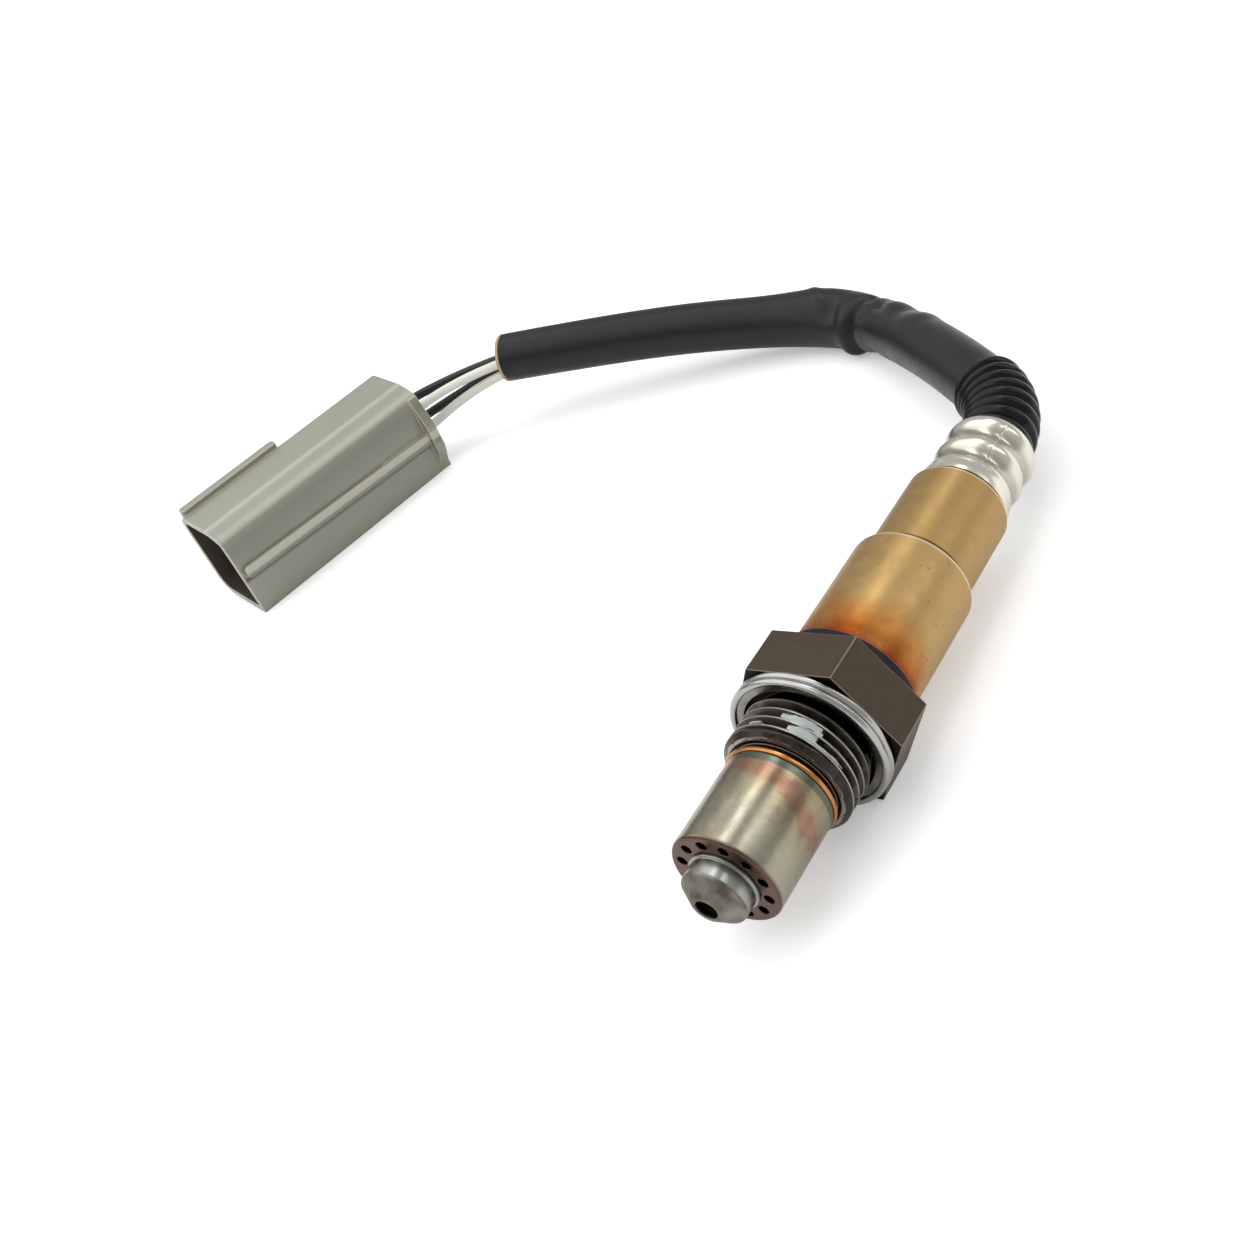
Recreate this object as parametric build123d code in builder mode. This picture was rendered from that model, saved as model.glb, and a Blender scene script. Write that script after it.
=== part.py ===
"""Heated exhaust oxygen sensor with a flying lead and a four-way plug.

Units are millimetres. The sensor's own axis is +Y, from the gas inlet in its
nose to the lead, and y = 0 is the front face of the hexagon, where the gasket
seats. +Z is up: the sensor lies with one flat of its hexagon on z = -11.
The lead bends round to -X and ends in a plug that lies on the same surface.
"""

import os
from math import atan2, cos, degrees, pi, radians, sin, tan

from build123d import *

os.makedirs("parts", exist_ok=True)

# ---------------------------------------------------------------- housing ---
HEX_ACROSS_FLATS = 22.0
HEX_LENGTH = 7.6
HEX_BACK_CHAMFER = 0.9
HEX_OVERLAP = 1.0  # the hexagon runs this far into the round body
THREAD_RADIUS = 9.0  # M18 x 1.5
THREAD_FRONT = -8.05
THREAD_LEAD_CHAMFER = 0.7
THREAD_BACK = -2.7
UNDERCUT_RADIUS = 7.9
NECK_RADIUS = 7.3
NECK_FRONT = -10.25
SPIGOT_LENGTH = 2.75
FRONT_BORE_RADIUS = 3.6
POWDER_BORE_RADIUS = 6.3
POWDER_BORE_FRONT = -5.0
COLLAR_RADIUS = 9.77
COLLAR_LENGTH = 2.3
COLLAR_GROOVE_DEPTH = 1.7
REAR_SPIGOT_RADIUS = 7.5
REAR_SPIGOT_LENGTH = 6.0
ROLLED_LIP_BORE = 5.4
ROLLED_LIP_THICKNESS = 0.6

# ---------------------------------------------------------- nose and tubes ---
OUTER_TUBE_RADIUS = 7.54
TUBE_WALL = 0.5
NOSE_FACE = -24.5
NOSE_EDGE_RADIUS = 0.45
GAS_HOLE_COUNT = 12
GAS_HOLE_CIRCLE_RADIUS = 5.9
GAS_HOLE_RADIUS = 0.72
GAS_HOLE_START = 9.0  # degrees
INNER_TUBE_RADIUS = 4.5
INNER_TUBE_WALL = 0.4
TIP_FACE = -29.2
TIP_CONE_LENGTH = 1.8
TIP_FACE_RADIUS = 2.1
TIP_HOLE_RADIUS = 1.5
TIP_EDGE_RADIUS = 0.5
BASE_BEAD_RADIUS = 4.8
BASE_BEAD_LENGTH = 0.45
SIDE_HOLE_COUNT = 6
SIDE_HOLE_RADIUS = 0.7
SIDE_HOLE_PLACE = -15.5
INNER_FLANGE_THICKNESS = 0.4
SEAM_RING_RADIUS = 7.8
SEAM_RING_LENGTH = 0.65

# ------------------------------------------------------------------ gasket ---
GASKET_BORE = 9.3
GASKET_RADIUS = 11.3
GASKET_BULGE = 0.55
GASKET_THICKNESS = 2.3
GASKET_SEAT_CHAMFER = 0.6

# --------------------------------------------------------- ceramic and core ---
ELEMENT_WIDTH = 4.2
ELEMENT_THICKNESS = 1.3
ELEMENT_FRONT = -26.0
ELEMENT_BACK = 31.0
SLOT_CLEARANCE = 0.12
LOWER_CERAMIC_LENGTH = 4.5
CERAMIC_CHAMFER = 0.4
POWDER_CHAMFER = 0.1
POWDER_LENGTH = 4.0
CORE_CLEARANCE = 0.05

# ------------------------------------------------------------ outer shells ---
SHELL_WALL = 0.5
SHELL_LOWER_RADIUS = 9.08
SHELL_UPPER_RADIUS = 7.79
SHELL_FRONT = 8.3
SHELL_STEP = 30.65
SHELL_STEP_LAND = 0.09  # flat left between the rounded rim and the upper stage
SHELL_BACK = 46.96
SHELL_LIP_RADIUS = 0.34
FERRULE_WALL = 0.6
FERRULE_BASE_RADIUS = 7.24
FERRULE_FRONT = 42.5
FERRULE_SKIRT = 1.2  # straight part that shows behind the shell
FERRULE_RIM_RADIUS = 6.3
FERRULE_RIM_LENGTH = 1.7  # from the last bulge to the ferrule's back edge
GROOVE_RADIUS = 6.35
BULGE_RADIUS = 6.92
FIRST_BULGE_LENGTH = 4.24  # from the straight part to the first groove
GROOVE_B_TO_BULGE_B = 2.4
BULGE_B_TO_GROOVE_A = 2.5
GROOVE_A_TO_BULGE_A = 2.3

# ------------------------------------------- contacts, grommet and lead-out ---
HOLDER_RADIUS = 6.8
HOLDER_FRONT = 22.0
HOLDER_BACK = 39.5
HOLDER_CHAMFER = 0.5
HOLDER_SLOT_SPARE = 1.0
CONTACT_INSET = 1.5
CLIP_WALL = 0.4
CLIP_FRONT = 31.6
CLIP_LENGTH = 7.0
CLIP_GAP = 3.0
CONTACT_WIDTH = 1.2
CONTACT_THICKNESS = 0.3
CONTACT_FIT = 0.03
CRIMP_RADIUS = 1.25
CRIMP_TAIL_RADIUS = 0.7
WIRE_START = 48.0
WIRE_RADIUS = 1.0
CONTACT_LANE = 1.35  # half the spacing of the four wires inside the sensor
LANE = 1.15  # the same, inside the sleeve
GROMMET_RADIUS = 5.65
GROMMET_FRONT_LENGTH = 6.2  # ahead of the middle bulge
GROMMET_BACK_LENGTH = 2.8  # behind it
GROMMET_BEAD_RADIUS = 6.25
GROMMET_BEAD_LENGTH = 1.8
BEAD_EDGE_RADIUS = 0.5
WIRE_FIT = 0.03

# -------------------------------------------------------------------- boot ---
BEND_RADIUS = 24.0
BEND_INSIDE_FERRULE = 1.3  # the bend starts this far inside the ferrule's back edge
BEND_ANGLE = 48.5  # degrees
BOOT_GAP = 0.1  # between the grommet and the boot
BOOT_BASE_RADIUS = 5.65
BOOT_FLANGE_RADIUS = 6.2
BOOT_FLANGE_LENGTH = 1.5
BOOT_FLANGE_EDGE = 0.4
BOOT_CORE_RADIUS = 4.75
BOOT_BORE = 3.5
BOOT_RIB_RADIUS = 5.9
BOOT_RIB_COUNT = 8
BOOT_RIB_WIDTH = 1.95
BOOT_RIB_ROOT = 0.3  # the ribs run this far into the tube
BOOT_FIRST_RIB_ANGLE = 4.6  # degrees along the bend
BOOT_LAST_RIB_ANGLE = 45.2
NIPPLE_RADIUS = 4.15
NIPPLE_LENGTH = 5.5

# ------------------------------------------------------------ plug, the lead ---
SLEEVE_RADIUS = 5.1
SLEEVE_BORE = 4.3
PLUG_WIDTH = 18.0
PLUG_HEIGHT = 20.4
PLUG_LENGTH = 52.3
PLUG_HEADING = 75.2  # degrees from +X, mouth to back
PLUG_MOUTH_X = -157.62
PLUG_MOUTH_Y = 25.55
PLUG_WALL = 1.3
PLUG_SHOULDER = 5.4  # the top starts to slope this far from the right side
PLUG_SHOULDER_DROP = 1.4
PLUG_SHOULDER_RADIUS = 2.0
PLUG_CROWN_RADIUS = 3.0
PLUG_SIDE_LEAN = 0.3  # the right side leans in this much above the rib
PLUG_CORNER = 2.0
PLUG_LOWER_CORNER = 4.0
RAIL_HEIGHT = 1.35
RAIL_WIDTH = 2.2
RAIL_INSET = 0.3
RAIL_FRONT = 2.0
RAIL_BACK = 46.0
RIB_WIDTH = 2.5
RIB_HEIGHT = 1.35
RIB_CREST_RADIUS = 0.4
RIB_FRONT = 0.8
RIB_FRONT_LEVEL = 0.35
RIB_BACK_LEVEL = -1.3  # the side ribs run down towards the back
SIDE_RIB_HEIGHT = 1.1
TOP_RIB_WIDTH = 2.3
TOP_RIB_HEIGHT = 1.1
TOP_RIB_FRONT = 0.6
TOP_RIB_BACK = 25.5
FLANGE_THICKNESS = 2.2
FLANGE_HEIGHT = 2.0
FLANGE_SPAN = 5.8  # upright part of the flange's edge
FLANGE_DROP = 1.3  # its middle sits this far under the plug's middle
FLANGE_TOP_INSET = 1.8  # the edge slopes out from this far under the plug's top
FLANGE_FOOT_INSET = 0.9
FLANGE_CORNER = 2.4
MOUTH_DEPTH = 24.0
CAVITY_SIZE = 3.0
CAVITY_PITCH = 5.6
CAVITY_DROP = 0.4  # the four cavities sit this far under the plug's middle
WIRE_EXIT_LENGTH = 2.0  # the wires turn this far behind the plug
REAR_POCKET_DEPTH = 11.0
PIN_TIP = 9.0
PIN_WIDTH = 2.2
PIN_THICKNESS = 0.64
PIN_BODY_SIZE = 2.5
PIN_BODY_END = 40.0
LOCK_THICKNESS = 3.0
SEAL_LENGTH = 6.0
RETAINER_FIT = 0.3
RETAINER_THICKNESS = 3.2
PLUG_FIT = 0.15

# Route of the sleeve's centre, from the boot's last rib to its cut end.
SLEEVE_ROUTE = [
    (-8.10, 77.98, 0.0),
    (-17.3, 86.1, 0.0),
    (-32.0, 99.0, -2.6),
    (-42.8, 107.6, -4.8),
    (-51.8, 111.8, -6.0),
    (-65.6, 112.4, -4.9),
    (-84.0, 107.5, -1.7),
    (-105.2, 100.7, 0.9),
    (-126.3, 93.2, 3.0),
]

# Centre of the four wires: x, y, z and the half spacing between the wires.
WIRE_ROUTE = [
    (0.0, WIRE_START, 0.0, CONTACT_LANE),
    (0.0, 70.8, 0.0, CONTACT_LANE),
    (-17.3, 86.1, -0.3, LANE),
    (-32.0, 99.0, -3.4, LANE),
    (-42.8, 107.6, -5.8, LANE),
    (-51.8, 111.7, -6.9, LANE),
    (-65.6, 112.2, -5.9, LANE),
    (-84.0, 107.2, -2.9, LANE),
    (-107.2, 99.6, -0.1, LANE),
    (-124.4, 93.25, 2.0, LANE),
    (-131.9, 89.4, 1.3, 1.5),
    (-138.2, 84.5, 0.4, 2.1),
]

WIRES = {
    "wire_black_signal": (-1, 1),
    "wire_white_signal": (1, 1),
    "wire_black_heater": (-1, -1),
    "wire_white_heater": (1, -1),
}

# ---------------------------------------------------------- derived values ---
FLOOR = -HEX_ACROSS_FLATS / 2
GASKET_LIFT = GASKET_RADIUS + FLOOR  # the loose ring stands on the floor too
HEX_BACK = HEX_LENGTH
COLLAR_BACK = HEX_BACK + COLLAR_LENGTH
REAR_SPIGOT_BACK = HEX_BACK + REAR_SPIGOT_LENGTH
SPIGOT_FRONT = NECK_FRONT - SPIGOT_LENGTH
SPIGOT_RADIUS = OUTER_TUBE_RADIUS - TUBE_WALL - CORE_CLEARANCE
UPPER_CERAMIC_FRONT = POWDER_BORE_FRONT + LOWER_CERAMIC_LENGTH + POWDER_LENGTH
CORE_RADIUS = POWDER_BORE_RADIUS - CORE_CLEARANCE
SHELL_STEP_RADIUS = SHELL_LOWER_RADIUS - SHELL_UPPER_RADIUS - SHELL_STEP_LAND
FERRULE_SKIRT_BACK = SHELL_BACK + FERRULE_SKIRT
GROOVE_B = FERRULE_SKIRT_BACK + FIRST_BULGE_LENGTH
BULGE_B = GROOVE_B + GROOVE_B_TO_BULGE_B
GROOVE_A = BULGE_B + BULGE_B_TO_GROOVE_A
BULGE_A = GROOVE_A + GROOVE_A_TO_BULGE_A
FERRULE_BACK = BULGE_A + FERRULE_RIM_LENGTH
GROMMET_FRONT = BULGE_B - GROMMET_FRONT_LENGTH
GROMMET_BACK = BULGE_B + GROMMET_BACK_LENGTH
BOOT_BASE_FRONT = GROMMET_BACK + BOOT_GAP
BEND_START = FERRULE_BACK - BEND_INSIDE_FERRULE
PLUG_SECTION_BOTTOM = PLUG_HEIGHT / 2 - PLUG_CORNER

# The plug lies on its lower right corner and on the rail under its left edge.
RAIL_SPAN = PLUG_WIDTH - PLUG_CORNER - RAIL_INSET - RAIL_WIDTH
PLUG_ROLL = degrees(atan2(RAIL_HEIGHT, RAIL_SPAN))
PLUG_MOUTH_Z = (
    FLOOR
    + (PLUG_WIDTH / 2 - PLUG_CORNER) * sin(radians(PLUG_ROLL))
    + PLUG_SECTION_BOTTOM * cos(radians(PLUG_ROLL))
    + PLUG_CORNER
)


def station(y):
    """Plane across the sensor's axis at y, facing the lead."""
    return Plane(origin=(0, y, 0), x_dir=(1, 0, 0), z_dir=(0, 1, 0))


def nose_plane(y):
    """Plane across the sensor's axis at y, facing out of the nose."""
    return Plane(origin=(0, y, 0), x_dir=(1, 0, 0), z_dir=(0, -1, 0))


def turned(*profile):
    """Solid of revolution about the sensor's axis from (radius, y) points."""
    with BuildPart() as piece:
        with BuildSketch(Plane.XY):
            with BuildLine():
                Polyline(*profile, close=True)
            make_face()
        revolve(axis=Axis.Y)
    return piece


def bend_point(angle):
    """Centre of the boot's bend at an angle along it."""
    turn = radians(angle)
    return Vector(BEND_RADIUS * (cos(turn) - 1), BEND_START + BEND_RADIUS * sin(turn), 0)


def bend_section(angle):
    """Plane that holds the boot's centre line; y runs along it, x points outwards."""
    turn = radians(angle)
    return Plane(origin=bend_point(angle), x_dir=(cos(turn), sin(turn), 0), z_dir=(0, 0, 1))


def plug_plane(depth):
    """Plane across the plug, depth back from its mouth; x right, y up, seen into the mouth."""
    heading = radians(PLUG_HEADING)
    roll = radians(PLUG_ROLL)
    along = Vector(cos(heading), sin(heading), 0)
    level = Vector(sin(heading), -cos(heading), 0)
    right = level * cos(roll) - Vector(0, 0, 1) * sin(roll)
    origin = Vector(PLUG_MOUTH_X, PLUG_MOUTH_Y, PLUG_MOUTH_Z) + along * depth
    return Plane(origin=origin, x_dir=right, z_dir=along * -1)


def plug_point(x, y, depth):
    """Point inside the plug, depth back from its mouth."""
    return plug_plane(depth).from_local_coords(Vector(x, y, 0))


def plug_face(x, y, outwards):
    """Plane on one side of the plug; its x runs from the mouth to the back."""
    mouth = plug_plane(0)
    return Plane(origin=plug_point(x, y, 0), x_dir=mouth.z_dir * -1, z_dir=outwards)


def plug_outline(inset=0.0):
    """Section of the plug's body, moved in by inset."""
    side = PLUG_WIDTH / 2
    top = PLUG_HEIGHT / 2
    shoulder = (side - PLUG_SIDE_LEAN, top - PLUG_SHOULDER_DROP)
    crown = (side - PLUG_SHOULDER, top)
    with BuildSketch() as outline:
        with BuildLine():
            Polyline(shoulder, crown, (-side, top), (-side, -top), (side, -top), (side, RIB_FRONT_LEVEL))
            TangentArc((side, RIB_FRONT_LEVEL), shoulder, tangent=(0, 1))
        make_face()
        left = outline.vertices().group_by(Axis.X)[0].sort_by(Axis.Y)
        low_right = outline.vertices().group_by(Axis.Y)[0].sort_by(Axis.X)[-1]
        high = outline.vertices().sort_by(Axis.X).filter_by_position(Axis.Y, shoulder[1], top)
        fillet(high[-2], radius=PLUG_CROWN_RADIUS)
        fillet(outline.vertices().sort_by_distance(shoulder)[0], radius=PLUG_SHOULDER_RADIUS)
        fillet([low_right, left[1]], radius=PLUG_CORNER)
        fillet(outline.vertices().group_by(Axis.X)[0].sort_by(Axis.Y)[0], radius=PLUG_LOWER_CORNER)
        if inset:
            offset(amount=-inset)
    return outline.sketch


def flange_outline():
    """Outline of the plug's flange, which bulges from both sides."""
    root = PLUG_WIDTH / 2 - PLUG_SIDE_LEAN
    edge = PLUG_WIDTH / 2 + FLANGE_HEIGHT
    top = PLUG_HEIGHT / 2 - FLANGE_TOP_INSET
    foot = FLANGE_FOOT_INSET - PLUG_HEIGHT / 2
    upper = FLANGE_SPAN / 2 - FLANGE_DROP
    lower = -FLANGE_SPAN / 2 - FLANGE_DROP
    with BuildSketch() as outline:
        with BuildLine():
            right = Polyline((root, top), (edge, upper), (edge, lower), (root, foot))
            mirror(right, about=Plane.YZ)
            Line((-root, top), (root, top))
            Line((-root, foot), (root, foot))
        make_face()
        sides = outline.vertices().group_by(Axis.X)
        fillet(sides[0] + sides[-1], radius=FLANGE_CORNER)
    return outline.sketch


def cord_radii(points):
    """Largest bend radius that each corner's two runs allow."""
    radii = []
    for before, corner, after in zip(points, points[1:], points[2:]):
        run_in = corner - before
        run_out = after - corner
        half_turn = radians(run_in.get_angle(run_out)) / 2
        radii.append(0.45 * min(run_in.length, run_out.length) / tan(half_turn))
    return radii


def report_bends(name, points, diameter):
    """Print a cord's runs and bend radii."""
    runs = [round((b - a).length, 1) for a, b in zip(points, points[1:])]
    radii = [round(radius, 1) for radius in cord_radii(points)]
    print(f"{name}: diameter {diameter:.1f}, runs {runs}, radii {radii}")


def report_volume(name, piece, area, length):
    """Print a cord's length, and its volume against its section times that length."""
    print(f"{name}: length {length:.1f}, volume ratio {piece.part.volume / (area * length):.4f}")


def wire_points(side, rise):
    """Corner points of one wire, offset from the bundle's centre."""
    centre = [Vector(x, y, z) for x, y, z, _ in WIRE_ROUTE]
    centre.append(plug_point(0, -CAVITY_DROP, PLUG_LENGTH + WIRE_EXIT_LENGTH))
    points = []
    for index, (_, _, _, lane) in enumerate(WIRE_ROUTE):
        here = centre[index]
        ahead = (centre[index + 1] - here).normalized()
        behind = (here - centre[index - 1]).normalized() if index else ahead
        heading = (ahead + behind).normalized()
        left = Vector(-heading.Y, heading.X, 0).normalized()
        mitre = 1 / cos(radians(behind.get_angle(ahead)) / 2)
        points.append(here + left * (side * lane * mitre) + Vector(0, 0, rise * lane))
    for depth in (PLUG_LENGTH + WIRE_EXIT_LENGTH, PIN_BODY_END):
        across = side * CAVITY_PITCH / 2
        points.append(plug_point(across, rise * CAVITY_PITCH / 2 - CAVITY_DROP, depth))
    return points


def save(piece, label):
    """Label one finished piece and write its STEP file."""
    piece.part.label = label
    export_step(piece.part, f"parts/{label}.step")


# ======================================================= nose of the sensor ===
with BuildPart() as outer_protection_tube:
    with BuildSketch(Plane.XY):
        with BuildLine():
            Polyline(
                (INNER_TUBE_RADIUS + CORE_CLEARANCE, NOSE_FACE),
                (OUTER_TUBE_RADIUS, NOSE_FACE),
                (OUTER_TUBE_RADIUS, NECK_FRONT),
                (OUTER_TUBE_RADIUS - TUBE_WALL, NECK_FRONT),
                (OUTER_TUBE_RADIUS - TUBE_WALL, NOSE_FACE + TUBE_WALL),
                (INNER_TUBE_RADIUS + CORE_CLEARANCE, NOSE_FACE + TUBE_WALL),
                close=True,
            )
        make_face()
    revolve(axis=Axis.Y)
    nose_rim = outer_protection_tube.edges().filter_by(GeomType.CIRCLE).group_by(Axis.Y)[0]
    fillet(nose_rim.sort_by(SortBy.RADIUS)[-1], radius=NOSE_EDGE_RADIUS)
    with Locations(nose_plane(NOSE_FACE)):
        with PolarLocations(GAS_HOLE_CIRCLE_RADIUS, GAS_HOLE_COUNT, start_angle=GAS_HOLE_START):
            Hole(GAS_HOLE_RADIUS, depth=2 * TUBE_WALL)
save(outer_protection_tube, "outer_protection_tube")

INNER_BORE = INNER_TUBE_RADIUS - INNER_TUBE_WALL
INNER_FLANGE_RADIUS = OUTER_TUBE_RADIUS - TUBE_WALL - CORE_CLEARANCE
TIP_CONE_BACK = TIP_FACE + TIP_CONE_LENGTH
with BuildPart() as inner_protection_tube:
    with BuildSketch(Plane.XY):
        with BuildLine():
            Polyline(
                (TIP_HOLE_RADIUS, TIP_FACE),
                (TIP_FACE_RADIUS, TIP_FACE),
                (INNER_TUBE_RADIUS, TIP_CONE_BACK),
                (INNER_TUBE_RADIUS, NOSE_FACE - BASE_BEAD_LENGTH),
                (BASE_BEAD_RADIUS, NOSE_FACE - BASE_BEAD_LENGTH),
                (BASE_BEAD_RADIUS, NOSE_FACE),
                (INNER_TUBE_RADIUS, NOSE_FACE),
                (INNER_TUBE_RADIUS, SPIGOT_FRONT - INNER_FLANGE_THICKNESS),
                (INNER_FLANGE_RADIUS, SPIGOT_FRONT - INNER_FLANGE_THICKNESS),
                (INNER_FLANGE_RADIUS, SPIGOT_FRONT),
                (INNER_BORE, SPIGOT_FRONT),
                (INNER_BORE, TIP_CONE_BACK + INNER_TUBE_WALL / 2),
                (TIP_HOLE_RADIUS, TIP_FACE + INNER_TUBE_WALL),
                close=True,
            )
        make_face()
    revolve(axis=Axis.Y)
    tip_cone = inner_protection_tube.faces().filter_by(GeomType.CONE).sort_by(SortBy.AREA)[-1]
    cone_edge = tip_cone.edges().filter_by(GeomType.CIRCLE).sort_by(SortBy.RADIUS)[-1]
    fillet(cone_edge, radius=TIP_EDGE_RADIUS)
    for turn in range(SIDE_HOLE_COUNT // 2):
        drill = Plane(
            origin=(0, SIDE_HOLE_PLACE, 0),
            x_dir=(0, 1, 0),
            z_dir=(
                cos(radians(turn * 360 / SIDE_HOLE_COUNT)),
                0,
                sin(radians(turn * 360 / SIDE_HOLE_COUNT)),
            ),
        )
        with BuildSketch(drill):
            Circle(SIDE_HOLE_RADIUS)
        extrude(amount=OUTER_TUBE_RADIUS - TUBE_WALL, both=True, mode=Mode.SUBTRACT)
save(inner_protection_tube, "inner_protection_tube")

seam_ring = turned(
    (NECK_RADIUS + CORE_CLEARANCE, NECK_FRONT),
    (SEAM_RING_RADIUS, NECK_FRONT),
    (SEAM_RING_RADIUS, NECK_FRONT + SEAM_RING_LENGTH),
    (NECK_RADIUS + CORE_CLEARANCE, NECK_FRONT + SEAM_RING_LENGTH),
)
with seam_ring:
    rims = seam_ring.edges().filter_by(GeomType.CIRCLE).group_by(SortBy.RADIUS)[-1]
    fillet(rims, radius=SEAM_RING_LENGTH * 0.4)
save(seam_ring, "tube_seam_ring")

# ============================================================ hexagon body ===
with BuildPart() as sensor_housing:
    with BuildSketch(Plane.XY):
        with BuildLine():
            Polyline(
                (FRONT_BORE_RADIUS, SPIGOT_FRONT),
                (SPIGOT_RADIUS, SPIGOT_FRONT),
                (SPIGOT_RADIUS, NECK_FRONT),
                (NECK_RADIUS, NECK_FRONT),
                (NECK_RADIUS, THREAD_FRONT - THREAD_LEAD_CHAMFER),
                (THREAD_RADIUS - THREAD_LEAD_CHAMFER, THREAD_FRONT - THREAD_LEAD_CHAMFER),
                (THREAD_RADIUS, THREAD_FRONT),
                (THREAD_RADIUS, THREAD_BACK),
                (UNDERCUT_RADIUS, THREAD_BACK),
                (UNDERCUT_RADIUS, 0),
                (COLLAR_RADIUS, 0),
                (COLLAR_RADIUS, COLLAR_BACK),
                (SHELL_LOWER_RADIUS + CORE_CLEARANCE, COLLAR_BACK),
                (SHELL_LOWER_RADIUS + CORE_CLEARANCE, COLLAR_BACK - COLLAR_GROOVE_DEPTH),
                (SHELL_LOWER_RADIUS - SHELL_WALL - CORE_CLEARANCE, COLLAR_BACK - COLLAR_GROOVE_DEPTH),
                (SHELL_LOWER_RADIUS - SHELL_WALL - CORE_CLEARANCE, COLLAR_BACK),
                (REAR_SPIGOT_RADIUS, COLLAR_BACK),
                (REAR_SPIGOT_RADIUS, REAR_SPIGOT_BACK),
                (ROLLED_LIP_BORE, REAR_SPIGOT_BACK + ROLLED_LIP_THICKNESS),
                (ROLLED_LIP_BORE, REAR_SPIGOT_BACK),
                (POWDER_BORE_RADIUS, REAR_SPIGOT_BACK),
                (POWDER_BORE_RADIUS, POWDER_BORE_FRONT),
                (FRONT_BORE_RADIUS, POWDER_BORE_FRONT),
                close=True,
            )
        make_face()
    revolve(axis=Axis.Y)
    with BuildSketch(station(0)):
        RegularPolygon(HEX_ACROSS_FLATS / 2, 6, major_radius=False)
        Circle(COLLAR_RADIUS - HEX_OVERLAP, mode=Mode.SUBTRACT)
    extrude(amount=HEX_LENGTH)
    # The hexagon's back corners are turned down to a cone.
    corner_radius = HEX_ACROSS_FLATS / 2 / cos(radians(30))
    with BuildSketch(Plane.XY):
        with BuildLine():
            Polyline(
                (corner_radius - HEX_BACK_CHAMFER, HEX_BACK),
                (corner_radius + HEX_BACK_CHAMFER, HEX_BACK),
                (corner_radius + HEX_BACK_CHAMFER, HEX_BACK - HEX_BACK_CHAMFER),
                (corner_radius, HEX_BACK - HEX_BACK_CHAMFER),
                close=True,
            )
        make_face()
    revolve(axis=Axis.Y, mode=Mode.SUBTRACT)
save(sensor_housing, "sensor_housing")

GASKET_WAIST = GASKET_RADIUS - GASKET_BULGE
GASKET_FOLD = GASKET_THICKNESS - 4 * GASKET_BULGE
with BuildPart() as sealing_gasket:
    with BuildSketch(Plane.XY):
        with BuildLine():
            Line((GASKET_BORE, -GASKET_FOLD / 2), (GASKET_WAIST, -GASKET_FOLD / 2))
            ThreePointArc(
                (GASKET_WAIST, -GASKET_FOLD / 2),
                (GASKET_RADIUS, -GASKET_FOLD / 2 - GASKET_BULGE),
                (GASKET_WAIST, -GASKET_FOLD / 2 - 2 * GASKET_BULGE),
            )
            ThreePointArc(
                (GASKET_WAIST, -GASKET_FOLD / 2 - 2 * GASKET_BULGE),
                (GASKET_RADIUS, -GASKET_FOLD / 2 - 3 * GASKET_BULGE),
                (GASKET_WAIST, -GASKET_FOLD / 2 - 4 * GASKET_BULGE),
            )
            Polyline(
                (GASKET_WAIST, -GASKET_FOLD / 2 - 4 * GASKET_BULGE),
                (GASKET_BORE + GASKET_SEAT_CHAMFER, -GASKET_FOLD / 2 - 4 * GASKET_BULGE),
                (GASKET_BORE, -GASKET_FOLD / 2 - 3 * GASKET_BULGE),
                (GASKET_BORE, -GASKET_FOLD / 2),
            )
        make_face()
    revolve(axis=Axis.Y)
    sealing_gasket.part.position = (0, 0, GASKET_LIFT)
save(sealing_gasket, "sealing_gasket")

# ===================================================== ceramic core, element ===
with BuildPart() as sensing_element:
    with BuildSketch(station(ELEMENT_FRONT)):
        Rectangle(ELEMENT_WIDTH, ELEMENT_THICKNESS)
    extrude(amount=ELEMENT_BACK - ELEMENT_FRONT)
    tip = sensing_element.faces().sort_by(Axis.Y)[0]
    chamfer(tip.edges(), length=ELEMENT_THICKNESS * 0.2)
save(sensing_element, "sensing_element")


def slotted_bush(front, back, rim_chamfer):
    """Ceramic bush with a slot for the flat element through it."""
    with BuildPart() as bush:
        with BuildSketch(station(front)):
            Circle(CORE_RADIUS)
            Rectangle(
                ELEMENT_WIDTH + 2 * SLOT_CLEARANCE,
                ELEMENT_THICKNESS + 2 * SLOT_CLEARANCE,
                mode=Mode.SUBTRACT,
            )
        extrude(amount=back - front)
        rims = bush.edges().filter_by(GeomType.CIRCLE)
        chamfer(rims, length=rim_chamfer)
    return bush


POWDER_FRONT = POWDER_BORE_FRONT + LOWER_CERAMIC_LENGTH
lower_ceramic = slotted_bush(POWDER_BORE_FRONT, POWDER_FRONT, CERAMIC_CHAMFER)
save(lower_ceramic, "lower_ceramic")

powder_packing = slotted_bush(POWDER_FRONT, UPPER_CERAMIC_FRONT, POWDER_CHAMFER)
save(powder_packing, "powder_packing")

upper_ceramic = slotted_bush(UPPER_CERAMIC_FRONT, REAR_SPIGOT_BACK, CERAMIC_CHAMFER)
save(upper_ceramic, "upper_ceramic")

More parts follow.
